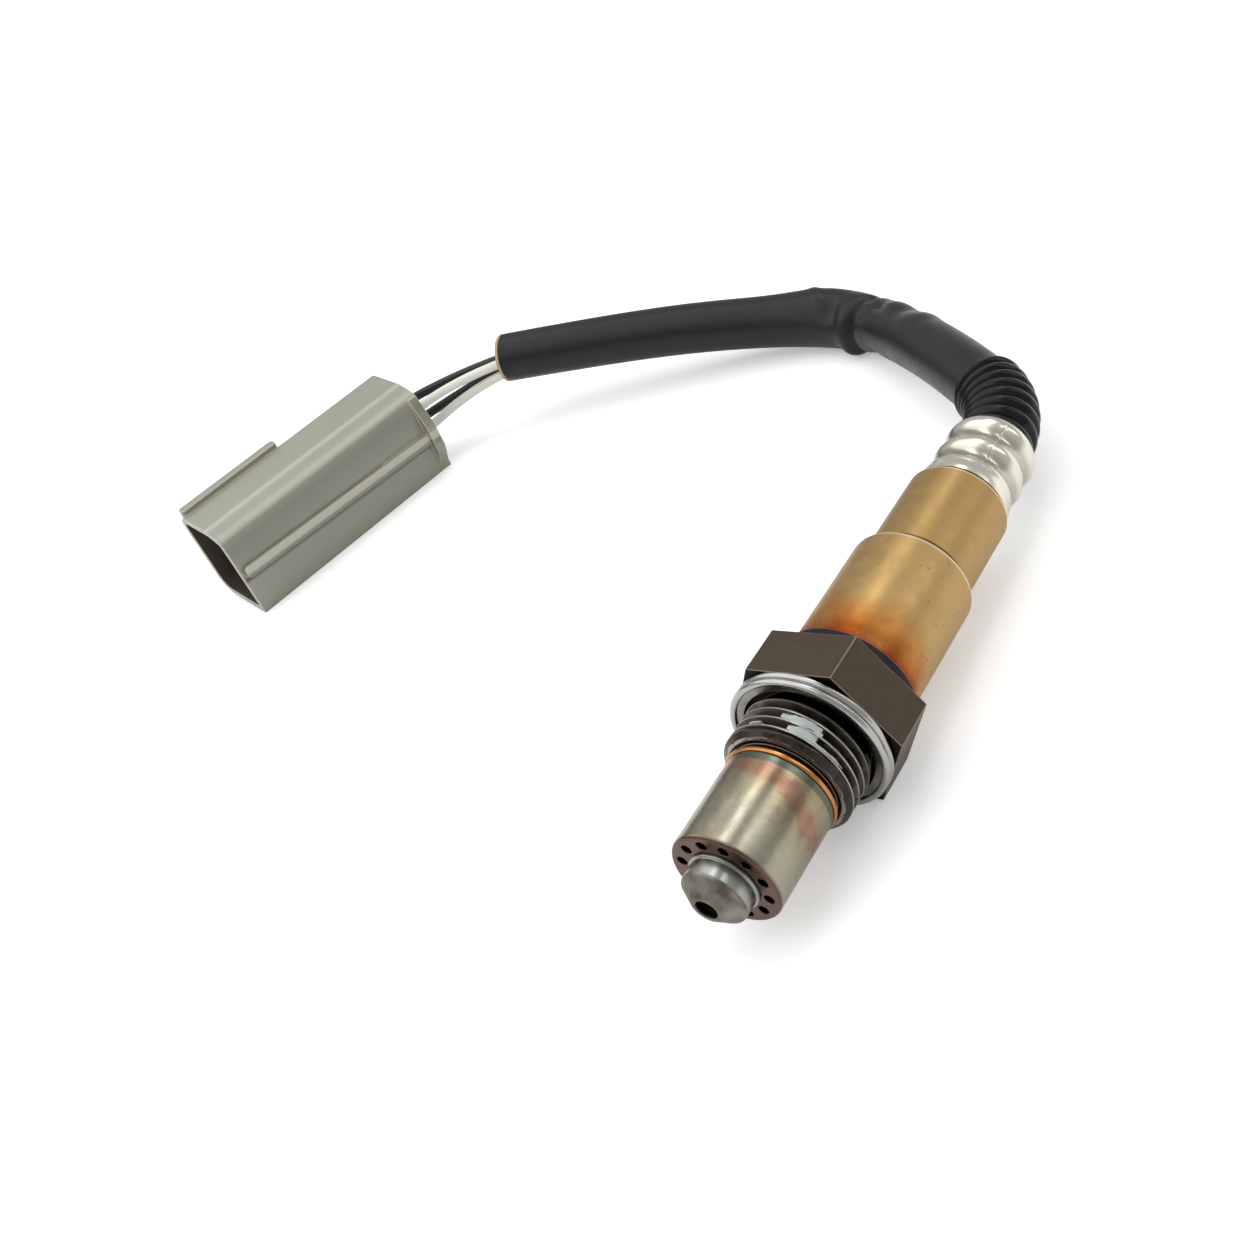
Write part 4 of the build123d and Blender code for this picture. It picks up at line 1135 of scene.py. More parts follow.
@dataclass
class Housing:
    """Hexagon body with its cut thread and smears of assembly paste."""

    edge: float = 0.1
    flat: float = 11.0  # half the width across flats
    corner_front: float = 6.6  # behind this, the hexagon's corners are squared
    hex_back: float = HEXAGON_BACK
    pitch: float = 1.5
    crest: float = 9.0
    root: float = 8.05
    core: float = 7.95  # what is left of the plain cylinder under the thread
    crest_half: float = 1 / 16  # half the crest's flat, as a share of the pitch
    root_edge: float = 3 / 8  # from the crest's middle to the root, as a share of the pitch
    front: float = THREAD_FRONT
    back: float = -1.2
    lead: float = 0.7  # chamfer of the thread's front
    phase: float = -0.667  # where in its turn the thread starts
    land: float = THREAD_LAND  # plain band in front of the thread, up to here
    land_fade: float = 0.3
    turns: int = 6
    rows: int = 16
    columns: int = 145
    paste_level: float = 8.94
    paste_seed: int = 4
    paste_scale: float = 6.0
    paste_ragged: float = 1.2
    paste_edge: tuple[float, float] = (0.6, 0.85)
    paste_wave: float = 0.3
    dabs: tuple[Dab, ...] = (
        Dab(65.0, -5.0, 20.0, 0.75),
        Dab(61.0, -6.5, 15.0, 0.85),
        Dab(49.0, -5.35, 5.0, 0.95),
        Dab(84.0, -8.3, 8.5, 0.4),
        Dab(54.0, -8.2, 4.0, 0.3),
        Dab(36.0, -7.0, 20.0, 0.22),
        Dab(104.0, -6.6, 9.0, 0.3),
    )

    def build(self) -> None:
        """Makes the body, its thread and the paste."""
        body = cad_copy("sensor_housing", "hexagon_body", self.edge, self.cut_back)
        paint_piece(body, Palette.HEXAGON.material(), Palette.HEXAGON_EDGE.material())
        attach(body, "housing_steel", "sensor_housing")
        thread = self.skin("thread_ridges", Palette.THREAD.material(), False)
        attach(smooth(thread, 24), "housing_steel")
        paste = self.skin("thread_paste", Palette.PASTE.material(), True)
        attach(smooth(paste, 60), "gasket_steel")

    def cut_back(self, points: np.ndarray) -> None:
        """Sinks the plain cylinder under the thread to its core and squares the hexagon's back corners.

        Args:
            points: The body's points, which change in place.
        """
        radius = np.hypot(points[:, 0], points[:, 2])
        low, high = self.front - 0.01, self.back + 0.01
        under = (points[:, 1] > low) & (points[:, 1] < high) & (radius > self.core)
        points[under, 0] *= self.core / radius[under]
        points[under, 2] *= self.core / radius[under]
        corner = (points[:, 1] > self.corner_front) & (points[:, 1] < self.hex_back) & (radius > self.flat)
        points[corner, 1] = self.hex_back

    def skin(self, name: str, material: bpy.types.Material, paste: bool) -> bpy.types.Object:
        """Builds the helical skin, or the paste that fills its grooves here and there.

        Args:
            name: Name of the piece.
            material: Its finish.
            paste: True for the paste.

        Returns:
            The baked piece.
        """
        net = Graph(name)
        size = net.sizes(
            pitch=self.pitch * MM,
            crest=self.crest * MM,
            root=self.root * MM,
            core=self.core * MM,
            front=self.front * MM,
            back=self.back * MM,
            lead=self.lead * MM,
            fill=self.paste_level * MM,
            rows=self.rows * self.turns + 1,
            columns=self.columns,
            seed=self.paste_seed,
            phase=self.phase,
            land=self.land * MM,
        )
        counts = {"Vertices X": size.columns, "Vertices Y": size.rows}
        grid = net.add("GeometryNodeMeshGrid", {"Size X": 1.0, "Size Y": 1.0, **counts})
        across, upward, _ = net.axes(net.add("GeometryNodeInputPosition"))
        turn = across + 0.5
        row = (upward + 0.5) * float(self.turns)
        along = size.front + (row + (turn + size.phase - 1.0)) * size.pitch
        angle = turn * (2 * math.pi)
        cosine, sine = net.circle(angle)
        flat: object = grid
        if paste:
            round_place = net.vector(cosine, along / (self.crest * MM), sine)
            share, ripple = self.smear(net, round_place, size.seed, angle, along)
            radius = net.blend(share, size.core, size.fill + ripple)
            bare = share < 0.02
            flat = net.add("GeometryNodeDeleteGeometry", {"Geometry": grid, "Selection": bare}, domain="FACE")
        else:
            wave = abs(net.math("FRACT", row) - 0.5)
            flanks = {0: wave, 1: self.crest_half, 2: self.root_edge, 3: 1.0, 4: 0.0}
            ridge = net.term("ShaderNodeMapRange", flanks)
            ridge = net.most(ridge, net.fall(along - size.land, 0.0, self.land_fade * MM))
            radius = net.blend(ridge, size.root, size.crest)
        flank = size.crest + (along - size.front) - size.lead
        runout = size.root + (size.back - along)
        radius = net.most(net.least(radius, net.least(flank, runout)), size.core)
        held = net.least(net.most(along, size.front), size.back)
        outside = abs(along - held) > 1e-7
        sunk = net.blend(outside, radius, size.core)
        spot = net.vector(sunk * cosine, held, sunk * sine)
        shaped = net.add("GeometryNodeSetPosition", {"Geometry": flat, "Position": spot})
        merged = net.add("GeometryNodeMergeByDistance", {"Geometry": shaped, "Distance": 1e-6})
        return net.bake(name, net.add("GeometryNodeFlipFaces", {"Mesh": merged}), material)

    def smear(self, net: Graph, place: object, seed: Term, angle: Term, along: Term) -> tuple[Term, Term]:
        """Spreads the dabs of paste with ragged edges and an uneven top.

        Args:
            net: The skin's tree.
            place: Place on the thread, as a vector.
            seed: Seed of the raggedness.
            angle: Angle about the axis in radians.
            along: Station in metres.

        Returns:
            Where there is paste, from 0 to 1, and how far its top waves in metres.
        """
        inputs = {"Vector": place, "W": seed, "Scale": self.paste_scale}
        blot = net.term("ShaderNodeTexNoise", inputs, noise_dimensions="4D")
        share: object = -1.0
        for dab in self.dabs:
            aside = (net.math("DEGREES", angle) - dab.angle) / dab.half_angle
            ahead = (along / MM - dab.station) / dab.half_length
            share = net.most(share, 1.0 - (aside**2.0 + ahead**2.0))
        share = net.span(share + blot * self.paste_ragged, *self.paste_edge)
        return share, (blot - 0.5) * (self.paste_wave * MM)


# ------------------------------------------------------------------ gasket ---
@dataclass
class Gasket:
    """Folded sheet-steel ring that lies loose against the hexagon."""

    bore: float = 9.3
    waist: float = 10.75
    front: float = -2.25
    back: float = -0.05
    bead: float = 0.55  # radius of the two folds
    dish: float = 0.45  # how far the front face lies behind the fold
    place: Point = (0.0, 0.0, GASKET_LIFT)

    def build(self) -> None:
        """Makes the ring."""
        beads = []
        for centre in (self.back - self.bead, self.front + self.bead):
            for angle in np.linspace(80, -80, 12):
                turn = math.radians(angle)
                beads.append((self.waist + self.bead * math.cos(turn), centre + self.bead * math.sin(turn)))
        dish = self.front + self.dish
        rear = [(self.bore, self.back), (self.waist - 0.2, self.back)]
        face = [(self.waist - 0.35, self.front + 0.12), (self.waist - 0.5, dish), (self.bore, dish)]
        ring = lathe("gasket_ring", np.array(rear + beads + face), 180)
        ring.data.transform(Matrix.Translation(Vector(self.place) * MM))
        paint_piece(ring, Palette.GASKET.material())
        attach(ring, "gasket_steel", "sealing_gasket")


# --------------------------------------------------------- shell and ferrule ---
@dataclass
class Shell:
    """Stepped protective shell over the sensor's rear."""

    wall: float = 0.5
    lower: float = 9.08
    upper: float = 7.79
    front: float = 8.3
    step: float = SHELL_STEP
    back: float = SHELL_BACK
    shoulder: float = 0.75
    lip: float = 0.34

    def build(self) -> None:
        """Makes the shell."""
        wall, step, upper = self.wall, self.step, self.upper
        profile = rounded(
            [
                (self.lower - wall, self.front),
                (self.lower, self.front),
                (self.lower, step, self.shoulder),
                (upper, step, 0.2),
                (upper, self.back, self.lip),
                (upper - wall, self.back),
                (upper - wall, step - wall),
                (self.lower - wall, step - wall, 0.3),
            ],
            8,
        )
        shell = lathe("shell_stepped", profile, 200)
        paint_piece(shell, Palette.SHELL.material())
        attach(shell, "shell_steel", "protective_shell")


@dataclass
class Ferrule:
    """Crimped end of the shell with rolled bulges and the jaws' marks."""

    wall: float = 0.6
    front: float = 42.5
    knots: tuple[tuple[float, float], ...] = (
        (7.24, 48.16),
        (6.92, 50.28),
        (6.35, 52.4),
        (6.92, 54.8),
        (6.35, 57.3),
        (6.92, 59.6),
        (6.3, 61.3),
    )
    end_slope: float = -0.75
    facets: int = 8
    facet_depth: float = 0.02
    crease_angle: float = 51.0
    crease_depth: float = 0.09
    crease_width: float = 1.3
    waver: float = 1.1
    waver_rate: float = 1.7
    marks_back: float = 60.2

    def wave(self) -> np.ndarray:
        """Draws the crimped stretch as a smooth curve through its knots.

        Returns:
            Rows of radius and y.
        """
        radii, stations = np.array(self.knots).T
        fine = np.linspace(stations[0], stations[-1], 90)
        slopes = np.zeros(len(radii))
        slopes[-1] = self.end_slope
        place = np.clip(np.searchsorted(stations, fine, side="right") - 1, 0, len(stations) - 2)
        gap = stations[place + 1] - stations[place]
        share = (fine - stations[place]) / gap
        rise = share * share * (3 - 2 * share)
        end = (share**3 - share**2) * gap * slopes[place + 1]
        return np.stack([radii[place] + rise * (radii[place + 1] - radii[place]) + end, fine], axis=1)

    def marks(self, angle: np.ndarray, along: np.ndarray) -> np.ndarray:
        """Faint flats of the crimping jaws and the crease where two of them met.

        Args:
            angle: Angles about the axis in radians.
            along: Stations along it.

        Returns:
            What is added to the radius at each.
        """
        gap = np.degrees(angle) - self.crease_angle
        skirt_back = self.knots[0][1]
        crimped = np.clip((along - skirt_back - 0.9) / 1.2, 0, 1)
        crimped = crimped * np.clip((self.marks_back - along) / 0.8, 0, 1)
        waver = self.waver * np.sin(along * self.waver_rate)
        crease = np.exp(-(((gap + waver) / self.crease_width) ** 2))
        flats = self.facet_depth * np.cos(np.radians(gap) * self.facets)
        return crimped * (flats - self.crease_depth * crease)

    def build(self) -> None:
        """Makes the ferrule."""
        wave = self.wave()
        inner = wave[::-1] - np.array([self.wall, 0.0])
        base = wave[0, 0]
        profile = np.concatenate(
            [
                [(base - self.wall, self.front), (base, self.front)],
                wave,
                [(wave[-1, 0] - 0.15, wave[-1, 1] + 0.1), (wave[-1, 0] - 0.45, wave[-1, 1] + 0.1)],
                inner,
            ]
        )
        ferrule = lathe("ferrule_crimped", profile, 360, self.marks)
        paint_piece(ferrule, Palette.FERRULE.material())
        attach(ferrule, "ferrule_steel", "crimp_ferrule")


# -------------------------------------------------------------------- boot ---
@dataclass
class Boot:
    """Bent rubber boot, ribbed like bellows."""

    start: float = 57.7
    bend_start: float = 60.0
    bend_radius: float = 24.0
    bend_turn: float = 48.5
    nipple: float = 5.5
    base: float = 5.65
    base_back: float = 61.3
    core: float = 4.75
    rib: float = 5.9
    nipple_radius: float = 4.15
    first: float = 4.6
    last: float = 45.2
    ribs: int = 8
    rib_power: float = 2.2
    rings: int = 260
    sides: int = 72

    def build(self) -> None:
        """Makes the boot as a tube along its bend, with a radius rule for the ribs."""
        net = Graph("boot_bellows")
        lead_in = self.bend_start - self.start
        turn = math.radians(self.bend_turn)
        total = lead_in + self.bend_radius * turn + self.nipple
        size = net.sizes(
            length=total * MM,
            lead_in=lead_in * MM,
            start=self.start * MM,
            bend=self.bend_radius * MM,
            turn=turn,
            base=self.base * MM,
            core=self.core * MM,
            rib=self.rib * MM,
            nipple=self.nipple_radius * MM,
            first=math.radians(self.first),
            step=math.radians((self.last - self.first) / (self.ribs - 1)),
            ribs=self.ribs,
            rings=self.rings,
            sides=self.sides,
        )
        line = net.add("GeometryNodeCurvePrimitiveLine", {"End": net.vector(0.0, size.length, 0.0)})
        rings = net.add("GeometryNodeResampleCurve", {"Curve": line, "Count": size.rings})
        _, reach, _ = net.axes(net.add("GeometryNodeInputPosition"))
        angle = (reach - size.lead_in) / size.bend
        turned = net.least(net.most(angle, 0.0), size.turn)
        past = net.most(angle - size.turn, 0.0) * size.bend
        before = size.start + net.least(reach, size.lead_in)
        cosine, sine = net.circle(turned)
        end_cosine, end_sine = net.circle(size.turn)
        x = (cosine - 1.0) * size.bend - past * end_sine
        y = sine * size.bend + before + past * end_cosine
        radius = self.swell(net, size, reach, angle)
        sized = net.add("GeometryNodeSetCurveRadius", {"Curve": rings, "Radius": radius})
        bent = net.add("GeometryNodeSetPosition", {"Geometry": sized, "Position": net.vector(x, y, 0.0)})
        section = net.add("GeometryNodeCurvePrimitiveCircle", {"Resolution": size.sides, "Radius": 1.0})
        inputs = {"Curve": bent, "Profile Curve": section, "Scale": net.add("GeometryNodeInputRadius")}
        tube = net.add("GeometryNodeCurveToMesh", {**inputs, "Fill Caps": True})
        boot = net.bake("boot_bellows", tube, Palette.BOOT.material())
        attach(smooth(boot, 50), "boot_rubber", "cable_boot")

    def swell(self, net: Graph, size: SimpleNamespace, reach: Term, angle: Term) -> Term:
        """Gives the boot its base, its ribs and its nipple.

        Args:
            net: The boot's tree.
            size: The tree's sizes.
            reach: Distance from the boot's start.
            angle: Angle round the bend, from its start.

        Returns:
            The radius there.
        """
        count = (angle - size.first) / size.step + 0.5
        gap = (net.math("FRACT", count) - 0.5) * 2.0
        ribbed = (count > 0.0) * (count < size.ribs)
        radius = net.blend((1.0 - abs(gap) ** self.rib_power) * ribbed, size.core, size.rib)
        radius = net.blend(count > size.ribs, radius, size.nipple)
        foot = (reach < (self.base_back - self.start) * MM) * (count < 0.0)
        return net.blend(foot, radius, size.base)


# ------------------------------------------------------------------- cords ---
def spline_curve(name: str, route: Sequence[Point]) -> bpy.types.Object:
    """Makes a smooth curve with the route's points as its control points.

    Args:
        name: Name of the curve.
        route: Points in millimetres.

    Returns:
        The curve object.
    """
    curve = bpy.data.curves.new(name, "CURVE")
    curve.dimensions = "3D"
    curve.resolution_u = 24
    spline = curve.splines.new("NURBS")
    spline.points.add(len(route) - 1)
    for spot, place in zip(spline.points, route):
        spot.co = (place[0] * MM, place[1] * MM, place[2] * MM, 1.0)
    spline.order_u = 3
    spline.use_endpoint_u = True
    return new_object(name, curve)


def line_of(curve: bpy.types.Object) -> np.ndarray:
    """Reads the points along a curve's own line.

    Args:
        curve: The curve object.

    Returns:
        Rows of x, y and z in millimetres.
    """
    graph = bpy.context.evaluated_depsgraph_get()
    mesh = bpy.data.meshes.new_from_object(curve.evaluated_get(graph))
    points = np.array([vertex.co[:] for vertex in mesh.vertices]) / MM
    bpy.data.meshes.remove(mesh)
    return points


def run_length(points: np.ndarray) -> float:
    """Length of a line through points."""
    return float(np.linalg.norm(np.diff(points, axis=0), axis=1).sum())


@dataclass(frozen=True)
class Dent:
    """Soft dent in the sleeve; a negative depth is a bulge."""

    along: float
    around: float
    length: float
    width: float
    depth: float
    turn: float = 0.0


@dataclass
class Sleeve:
    """Black sleeve of the lead, creased at its kink, its tan lining showing at the cut."""

    route: tuple[Point, ...] = (
        (-8.10, 77.98, 0.0),
        (-17.3, 86.1, 0.0),
        (-32.0, 99.0, -2.6),
        (-42.8, 107.6, -4.8),
        (-51.8, 111.8, -6.0),
        (-65.6, 112.4, -4.9),
        (-84.0, 107.5, -1.7),
        (-105.2, 100.7, 0.9),
        (-126.3, 93.2, 3.0),
    )
    outer: float = 5.1
    wall: float = 0.8
    rings: int = 420
    sides: int = 144
    frayed: int = 2  # rings of the outside that show the lining
    dents: tuple[Dent, ...] = (
        Dent(61.0, 22.0, 10.0, 5.0, -1.35),
        Dent(57.0, 328.0, 2.8, 2.4, 0.95),
        Dent(62.5, 4.0, 4.0, 1.0, -0.45, 45.0),
        Dent(49.3, 300.0, 1.2, 9.5, 1.6, 6.0),
        Dent(53.0, 285.0, 2.0, 7.0, -0.4),
        Dent(45.6, 290.0, 2.0, 6.0, -0.35),
        Dent(52.0, 232.0, 3.2, 3.4, -1.0),
        Dent(44.0, 240.0, 3.5, 3.4, 0.6),
        Dent(42.5, 358.0, 5.0, 1.1, 0.65, 12.0),
        Dent(44.8, 330.0, 3.2, 1.0, 0.5, -50.0),
        Dent(39.0, 20.0, 2.5, 3.0, -0.35),
        Dent(33.5, 22.0, 2.6, 4.0, 0.45),
        Dent(27.0, 30.0, 3.0, 4.0, -0.35),
        Dent(17.0, 330.0, 8.0, 3.4, 0.35),
    )

    def build(self) -> tuple[bpy.types.Object, np.ndarray]:
        """Makes the sleeve.

        Returns:
            The sleeve and the points that it follows.
        """
        curve = spline_curve("sleeve_line", self.route)
        line = line_of(curve)
        bpy.data.objects.remove(curve)
        steps = np.concatenate([[0.0], np.cumsum(np.linalg.norm(np.diff(line, axis=0), axis=1))])
        even = np.linspace(0, steps[-1], self.rings)
        centre = np.stack([np.interp(even, steps, line[:, axis]) for axis in range(3)], axis=1)
        ahead = np.gradient(centre, axis=0)
        ahead /= np.linalg.norm(ahead, axis=1)[:, None]
        up = np.array([0.0, 0.0, 1.0]) - ahead * ahead[:, 2:3]
        up /= np.linalg.norm(up, axis=1)[:, None]
        side = np.cross(ahead, up)
        angle = np.linspace(0, 2 * math.pi, self.sides, endpoint=False)
        spread = self.dented(even, angle)
        ring = up[:, None, :] * np.cos(angle)[None, :, None] + side[:, None, :] * np.sin(angle)[None, :, None]
        outer = centre[:, None, :] + ring * spread[:, :, None]
        lip = centre[:, None, :] + ring * (spread - self.wall)[:, :, None]
        points = np.concatenate([outer.reshape(-1, 3), lip[::-1].reshape(-1, 3)])
        faces = ring_faces(2 * self.rings, self.sides)
        piece = build_mesh("lead_sleeve", points, faces)
        paint_piece(piece, Palette.SLEEVE.material(), Palette.LINING.material())
        inside = (self.rings - 1 - self.frayed) * self.sides
        for polygon in piece.data.polygons:
            polygon.material_index = 1 if polygon.index >= inside else 0
        return smooth(piece, 40), line

    def dented(self, along: np.ndarray, angle: np.ndarray) -> np.ndarray:
        """Radius at each ring and angle, after the dents.

        Args:
            along: Distance of each ring from the boot.
            angle: Angles round the sleeve, from its top.

        Returns:
            One row for each ring.
        """
        radius = np.full((along.size, angle.size), self.outer)
        for dent in self.dents:
            gap = (angle - math.radians(dent.around) + math.pi) % (2 * math.pi) - math.pi
            u = (along - dent.along)[:, None]
            v = (gap * self.outer)[None, :]
            turn = math.radians(dent.turn)
            run = (u * math.cos(turn) + v * math.sin(turn)) / dent.length
            cross = (-u * math.sin(turn) + v * math.cos(turn)) / dent.width
            radius = radius - dent.depth * np.exp(-(run**2) - cross**2)
        return radius


@dataclass(frozen=True)
class Wire:
    """One insulated wire: its name, colour, slot and route."""

    name: str
    finish: Palette
    slot: str
    node: str
    route: tuple[Point, ...]


@dataclass
class Lead:
    """Sleeve and four wires between the sensor and the plug."""

    wire_radius: float = 1.0
    sleeve: Sleeve = field(default_factory=Sleeve)
    wires: tuple[Wire, ...] = (
        Wire(
            "insulation_black_signal",
            Palette.BLACK,
            "black_wire",
            "wire_black_signal",
            (
                (1.35, 48.0, 1.35),
                (1.35, 71.41, 1.35),
                (-16.54, 86.97, 0.85),
                (-31.26, 99.88, -2.25),
                (-42.19, 108.59, -4.65),
                (-51.53, 112.85, -5.75),
                (-65.73, 113.36, -4.75),
                (-84.33, 108.3, -1.75),
                (-107.58, 100.69, 1.05),
                (-124.87, 94.31, 3.15),
                (-132.71, 90.67, 2.8),
                (-139.65, 86.03, 2.5),
                (-146.21, 78.7, 2.52),
                (-149.86, 64.87, 2.52),
            ),
        ),
        Wire(
            "insulation_white_signal",
            Palette.WHITE,
            "white_wire",
            "wire_white_signal",
            (
                (-1.35, 48.0, 1.35),
                (-1.35, 70.19, 1.35),
                (-18.06, 85.23, 0.85),
                (-32.74, 98.12, -2.25),
                (-43.41, 106.61, -4.65),
                (-52.07, 110.55, -5.75),
                (-65.47, 111.04, -4.75),
                (-83.67, 106.1, -1.75),
                (-106.82, 98.51, 1.05),
                (-123.93, 92.19, 3.15),
                (-131.09, 88.13, 2.8),
                (-136.75, 82.97, 2.5),
                (-140.82, 77.28, 1.97),
                (-144.48, 63.45, 1.97),
            ),
        ),
        Wire(
            "insulation_black_heater",
            Palette.BLACK,
            "black_wire",
            "wire_black_heater",
            (
                (1.35, 48.0, -1.35),
                (1.35, 71.41, -1.35),
                (-16.54, 86.97, -1.45),
                (-31.26, 99.88, -4.55),
                (-42.19, 108.59, -6.95),
                (-51.53, 112.85, -8.05),
                (-65.73, 113.36, -7.05),
                (-84.33, 108.3, -4.05),
                (-107.58, 100.69, -1.25),
                (-124.87, 94.31, 0.85),
                (-132.71, 90.67, -0.2),
                (-139.65, 86.03, -1.7),
                (-146.75, 78.84, -3.05),
                (-150.4, 65.02, -3.05),
            ),
        ),
        Wire(
            "insulation_white_heater",
            Palette.WHITE,
            "white_wire",
            "wire_white_heater",
            (
                (-1.35, 48.0, -1.35),
                (-1.35, 70.19, -1.35),
                (-18.06, 85.23, -1.45),
                (-32.74, 98.12, -4.55),
                (-43.41, 106.61, -6.95),
                (-52.07, 110.55, -8.05),
                (-65.47, 111.04, -7.05),
                (-83.67, 106.1, -4.05),
                (-106.82, 98.51, -1.25),
                (-123.93, 92.19, 0.85),
                (-131.09, 88.13, -0.2),
                (-136.75, 82.97, -1.7),
                (-141.36, 77.42, -3.61),
                (-145.02, 63.59, -3.61),
            ),
        ),
    )

    def build(self, plug_pieces: Sequence[bpy.types.Object]) -> None:
        """Args:
            plug_pieces: Not used.
        """
        sleeve, line = self.sleeve.build()
        attach(sleeve, "sleeve_plastic", "cable_sleeve")
        tuple(line[0] * MM)
        [tuple(point * MM) for point in line]
        for wire in self.wires:
            piece = spline_curve(wire.name, wire.route)
            length = run_length(line_of(piece))
            piece.data.bevel_depth = self.wire_radius * MM
            piece.data.bevel_resolution = 5
            piece.data.use_fill_caps = True
            paint_piece(piece, wire.finish.material())
            attach(piece, wire.slot, wire.node)


# -------------------------------------------------------------------- plug ---
@dataclass
class Plug:
    """Moulded four-way plug with its terminals, lock and rear seal."""

    edge: float = 0.18
    small_edge: float = 0.12
    mouth: Point = PLUG_MOUTH
    inward: Point = (0.2554, 0.9668, 0.0)
    mouth_depth: float = 25.0
    rim: float = 0.4
    reach: float = 11.5

    def build(self) -> list[bpy.types.Object]:
        """Makes the plug's pieces.

        Returns:
            The pieces, the housing first.
        """
        pieces = []
        for node, name, finish, slot, edge in (
            ("connector_housing", "plug_shell", Palette.PLUG, "plug_plastic", self.edge),
            ("terminal_lock", "plug_lock_plate", Palette.LOCK, "lock_plastic", self.small_edge),
            ("terminal_pins", "plug_blades", Palette.CONTACT, "contact_metal", self.small_edge),
            ("wire_seal", "plug_wire_seal", Palette.SEAL, "seal_rubber", self.small_edge),
            ("seal_retainer", "plug_retainer", Palette.PLUG, "plug_plastic", self.small_edge),
        ):
            piece = cad_copy(node, name, edge)
            # the plug plastic's bevelled edges take the painted highlight
            edge_finish = Palette.PLUG_EDGE if finish is Palette.PLUG else finish
            paint_piece(piece, finish.material(), edge_finish.material(), Palette.PLUG_INSIDE.material())
            if node == "connector_housing":
                self.shade_mouth(piece)
            attach(piece, slot, node)
            pieces.append(piece)
        return pieces

    def shade_mouth(self, piece: bpy.types.Object) -> None:
        """Paints shade on the walls inside the plug's mouth.

        Args:
            piece: The plug's housing.
        """
        mouth, inward = Vector(self.mouth) * MM, Vector(self.inward)
        for face in piece.data.polygons:
            spot = face.center - mouth
            depth = spot.dot(inward)
            across = spot - inward * depth
            if across.length > self.reach * MM:
                continue
            walls = face.normal.dot(across) < -0.5 * across.length
            # painted shade on the mouth's walls and on the end wall facing out
            if self.rim * MM < depth < self.mouth_depth * MM and (walls or face.normal.dot(inward) < -0.9):
                face.material_index = 2


# -------------------------------------------------------------------- core ---
@dataclass
class Core:
    """Hidden pieces inside the sensor, which keep their CAD meshes."""

    finishes: tuple[tuple[str, Palette, str], ...] = (
        ("sensing_element", Palette.ELEMENT, "element_ceramic"),
        ("lower_ceramic", Palette.CERAMIC, "core_ceramic"),
        ("upper_ceramic", Palette.CERAMIC, "core_ceramic"),
        ("contact_holder", Palette.CERAMIC, "core_ceramic"),
        ("powder_packing", Palette.TALC, "talc"),
        ("holder_clip", Palette.CONTACT, "contact_metal"),
        ("contact_springs", Palette.CONTACT, "contact_metal"),
        ("wire_crimps", Palette.CONTACT, "contact_metal"),
        ("grommet", Palette.GROMMET, "grommet_rubber"),
    )

    def build(self) -> None:
        """Paints the pieces."""
        for node, finish, slot in self.finishes:
            piece = bpy.data.objects[node]
            paint_piece(piece, finish.material())
            log.info("%s is painted %s", node, finish.value.name)


# ------------------------------------------------------------------ studio ---
@dataclass(frozen=True)
class Lamp:
    """Square or oblong soft box, aimed at the object."""

    name: str
    place: Point
    width: float
    height: float
    power: float


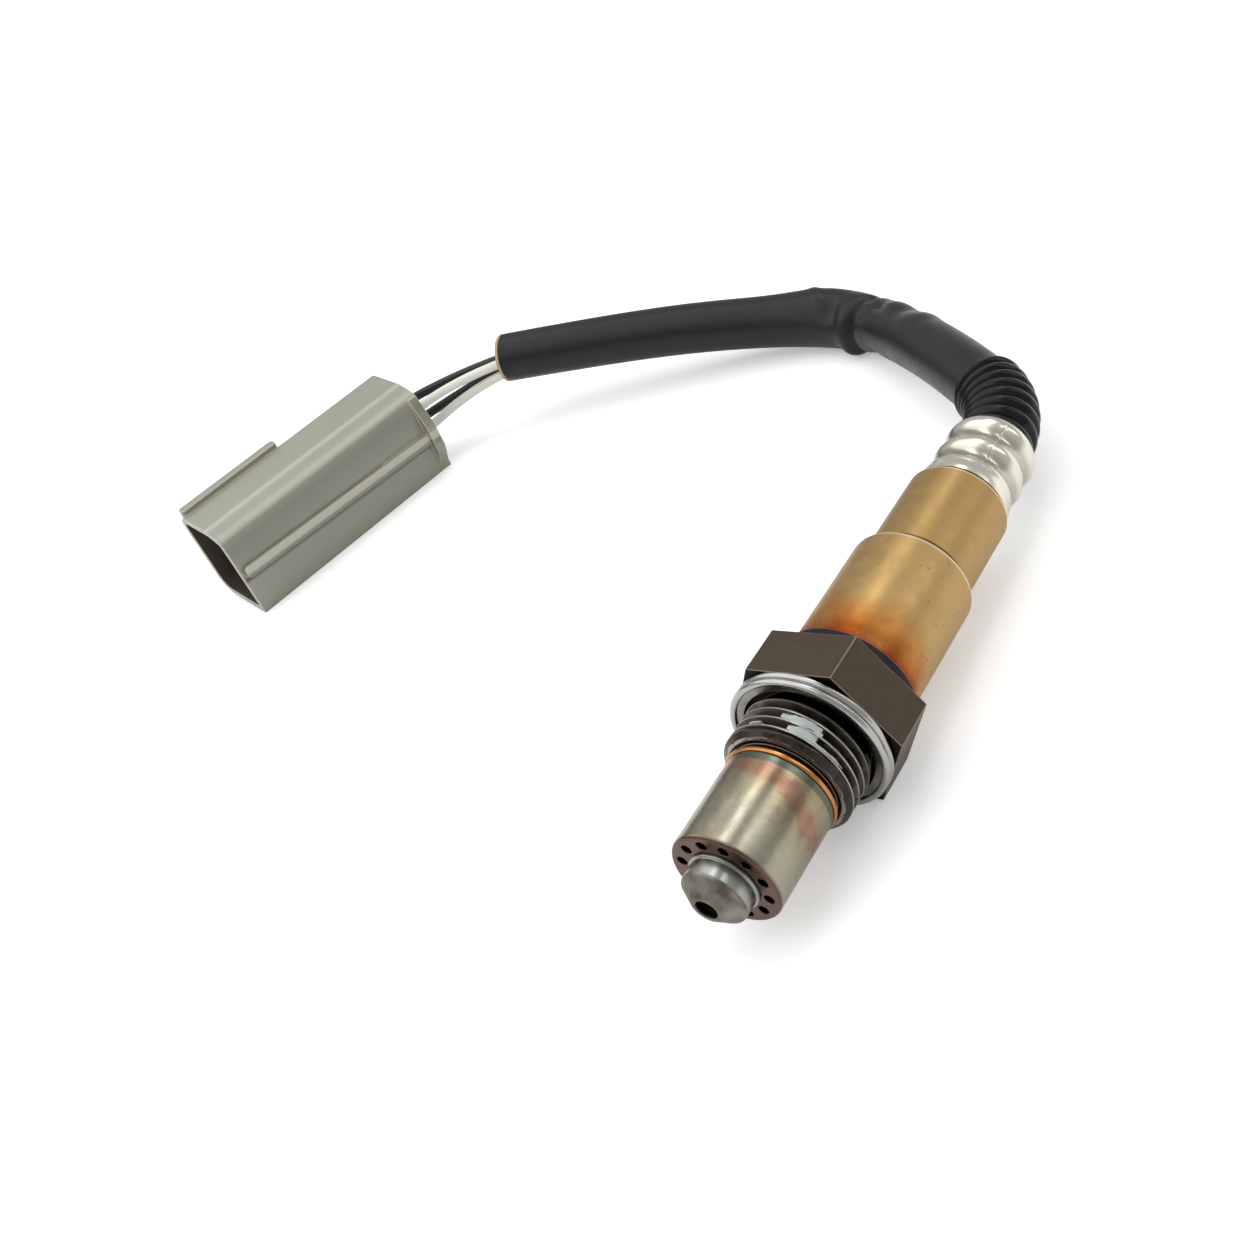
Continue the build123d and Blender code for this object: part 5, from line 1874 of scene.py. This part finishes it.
@dataclass
class Studio:
    """White floor, soft boxes and the camera."""

    eye: Point = (102.435, -106.924, 123.339)
    right: Point = (0.76653, 0.50895, -0.39166)
    up: Point = (-0.06274, 0.66629, 0.74305)
    back: Point = (0.63914, -0.54500, 0.54266)
    lens: float = 42.516
    sensor: float = 36.0
    floor_size: float = 8000.0
    floor_drop: float = 0.02
    floor_white: float = 0.84
    glow_reach: tuple[float, float] = (0.1, 0.45)
    glow: tuple[float, float] = (0.31, 0.75)
    sky: float = 0.64
    floor_shine: float = 0.5
    sky_shine: float = 0.5
    aim: Point = (-40.0, 40.0, 0.0)
    lamps: tuple[Lamp, ...] = (
        Lamp("key", (-420.0, -120.0, 760.0), 1.4, 1.4, 7.4),
        Lamp("strip_right", (560.0, 560.0, 560.0), 0.14, 0.7, 1.0),
        Lamp("strip_back", (-20.0, 560.0, 760.0), 0.2, 0.5, 1.0),
    )
    flag_place: Point = (-3400.0, 1500.0, 190.0)
    flag_size: tuple[float, float] = (4800.0, 400.0)

    def build(self) -> None:
        """Sets the floor, the light and the camera."""
        bpy.context.scene.view_settings.view_transform = "Standard"
        self.floor()
        self.flag()
        self.world()
        for lamp in self.lamps:
            self.hang(lamp)
        self.camera()

    def floor(self) -> None:
        """Lays the white floor, which keeps the object's shadow."""
        half, level = self.floor_size / 2, FLOOR - self.floor_drop
        corners = [(-half, -half, level), (half, -half, level), (half, half, level), (-half, half, level)]
        white = (self.floor_white, self.floor_white, self.floor_white, 1.0)
        paint = Paint("floor white", Base_Color=white, Roughness=1.0, Specular_IOR_Level=0.0)
        rays = paint.add("ShaderNodeLightPath")
        away = paint.add("ShaderNodeVectorMath", {0: paint.place}, operation="LENGTH").outputs["Value"]
        glow = paint.span(away, *self.glow_reach, *self.glow)
        seen = paint.most(rays.outputs["Is Camera Ray"], rays.outputs["Is Transmission Ray"])
        seen = Term(paint, rays.outputs["Is Glossy Ray"]) * self.floor_shine + seen
        paint.put(paint.surface.inputs["Emission Color"], PURE_WHITE)
        paint.put(paint.surface.inputs["Emission Strength"], seen * glow)
        self.card("floor", corners, paint)

    def flag(self) -> None:
        """Stands a low black card beyond the object, out of sight, that draws a dark line in the metal."""
        x, y, z = self.flag_place
        left, right = y - self.flag_size[0] / 2, y + self.flag_size[0] / 2
        low, high = z - self.flag_size[1] / 2, z + self.flag_size[1] / 2
        corners = [(x, left, low), (x, right, low), (x, right, high), (x, left, high)]
        paint = Paint("flag black", Base_Color=(0.01, 0.01, 0.01, 1.0), Roughness=1.0, Specular_IOR_Level=0.0)
        self.card("flag", corners, paint)

    def card(self, name: str, corners: Sequence[Point], paint: Paint) -> None:
        """Adds one flat card to the studio.

        Args:
            name: Name of the card.
            corners: Its four corners, in order.
            paint: Its finish.
        """
        mesh = bpy.data.meshes.new(name)
        mesh.from_pydata([tuple(Vector(corner) * MM) for corner in corners], [], [(0, 1, 2, 3)])
        card = new_object(name, mesh)
        paint_piece(card, paint.material)

    def world(self) -> None:
        """Fills the room with even light, white where the camera sees it."""
        world = bpy.data.worlds.new("room")
        world.use_nodes = True
        bpy.context.scene.world = world
        net = Net(world.node_tree)
        world.node_tree.nodes.clear()
        rays = net.add("ShaderNodeLightPath")
        strength = Term(net, rays.outputs["Is Glossy Ray"]) * (self.sky_shine - self.sky) + self.sky
        strength = net.most(rays.outputs["Is Camera Ray"], strength)
        sky = net.add("ShaderNodeBackground", {"Color": PURE_WHITE, "Strength": strength})
        net.add("ShaderNodeOutputWorld", {"Surface": sky})

    def hang(self, lamp: Lamp) -> None:
        """Hangs one soft box and aims it.

        Args:
            lamp: The soft box.
        """
        light = bpy.data.lights.new(lamp.name, "AREA")
        light.shape = "RECTANGLE"
        light.size, light.size_y = lamp.width, lamp.height
        light.energy = lamp.power
        box = new_object(lamp.name, light)
        place = Vector(lamp.place) * MM
        facing = (Vector(self.aim) * MM - place).to_track_quat("-Z", "Y")
        box.matrix_world = Matrix.Translation(place) @ facing.to_matrix().to_4x4()

    def camera(self) -> None:
        """Places the camera."""
        data = bpy.data.cameras.new("camera")
        data.lens, data.sensor_width, data.sensor_fit = self.lens, self.sensor, "HORIZONTAL"
        data.clip_start, data.clip_end = 0.01, 50.0
        camera = new_object("camera", data)
        turn = Matrix((self.right, self.up, self.back)).transposed().to_4x4()
        camera.matrix_world = Matrix.Translation(Vector(self.eye) * MM) @ turn
        bpy.context.scene.camera = camera


def main() -> None:
    """Builds the object and the studio round the CAD part."""
    logging.basicConfig(level=logging.INFO, format="%(relativeCreated)6d ms  %(message)s")
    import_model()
    Nose().build()
    Housing().build()
    Gasket().build()
    Shell().build()
    Ferrule().build()
    Boot().build()
    Core().build()
    plug = Plug().build()
    Lead().build(plug)
    Studio().build()


if __name__ == "__main__":
    main()
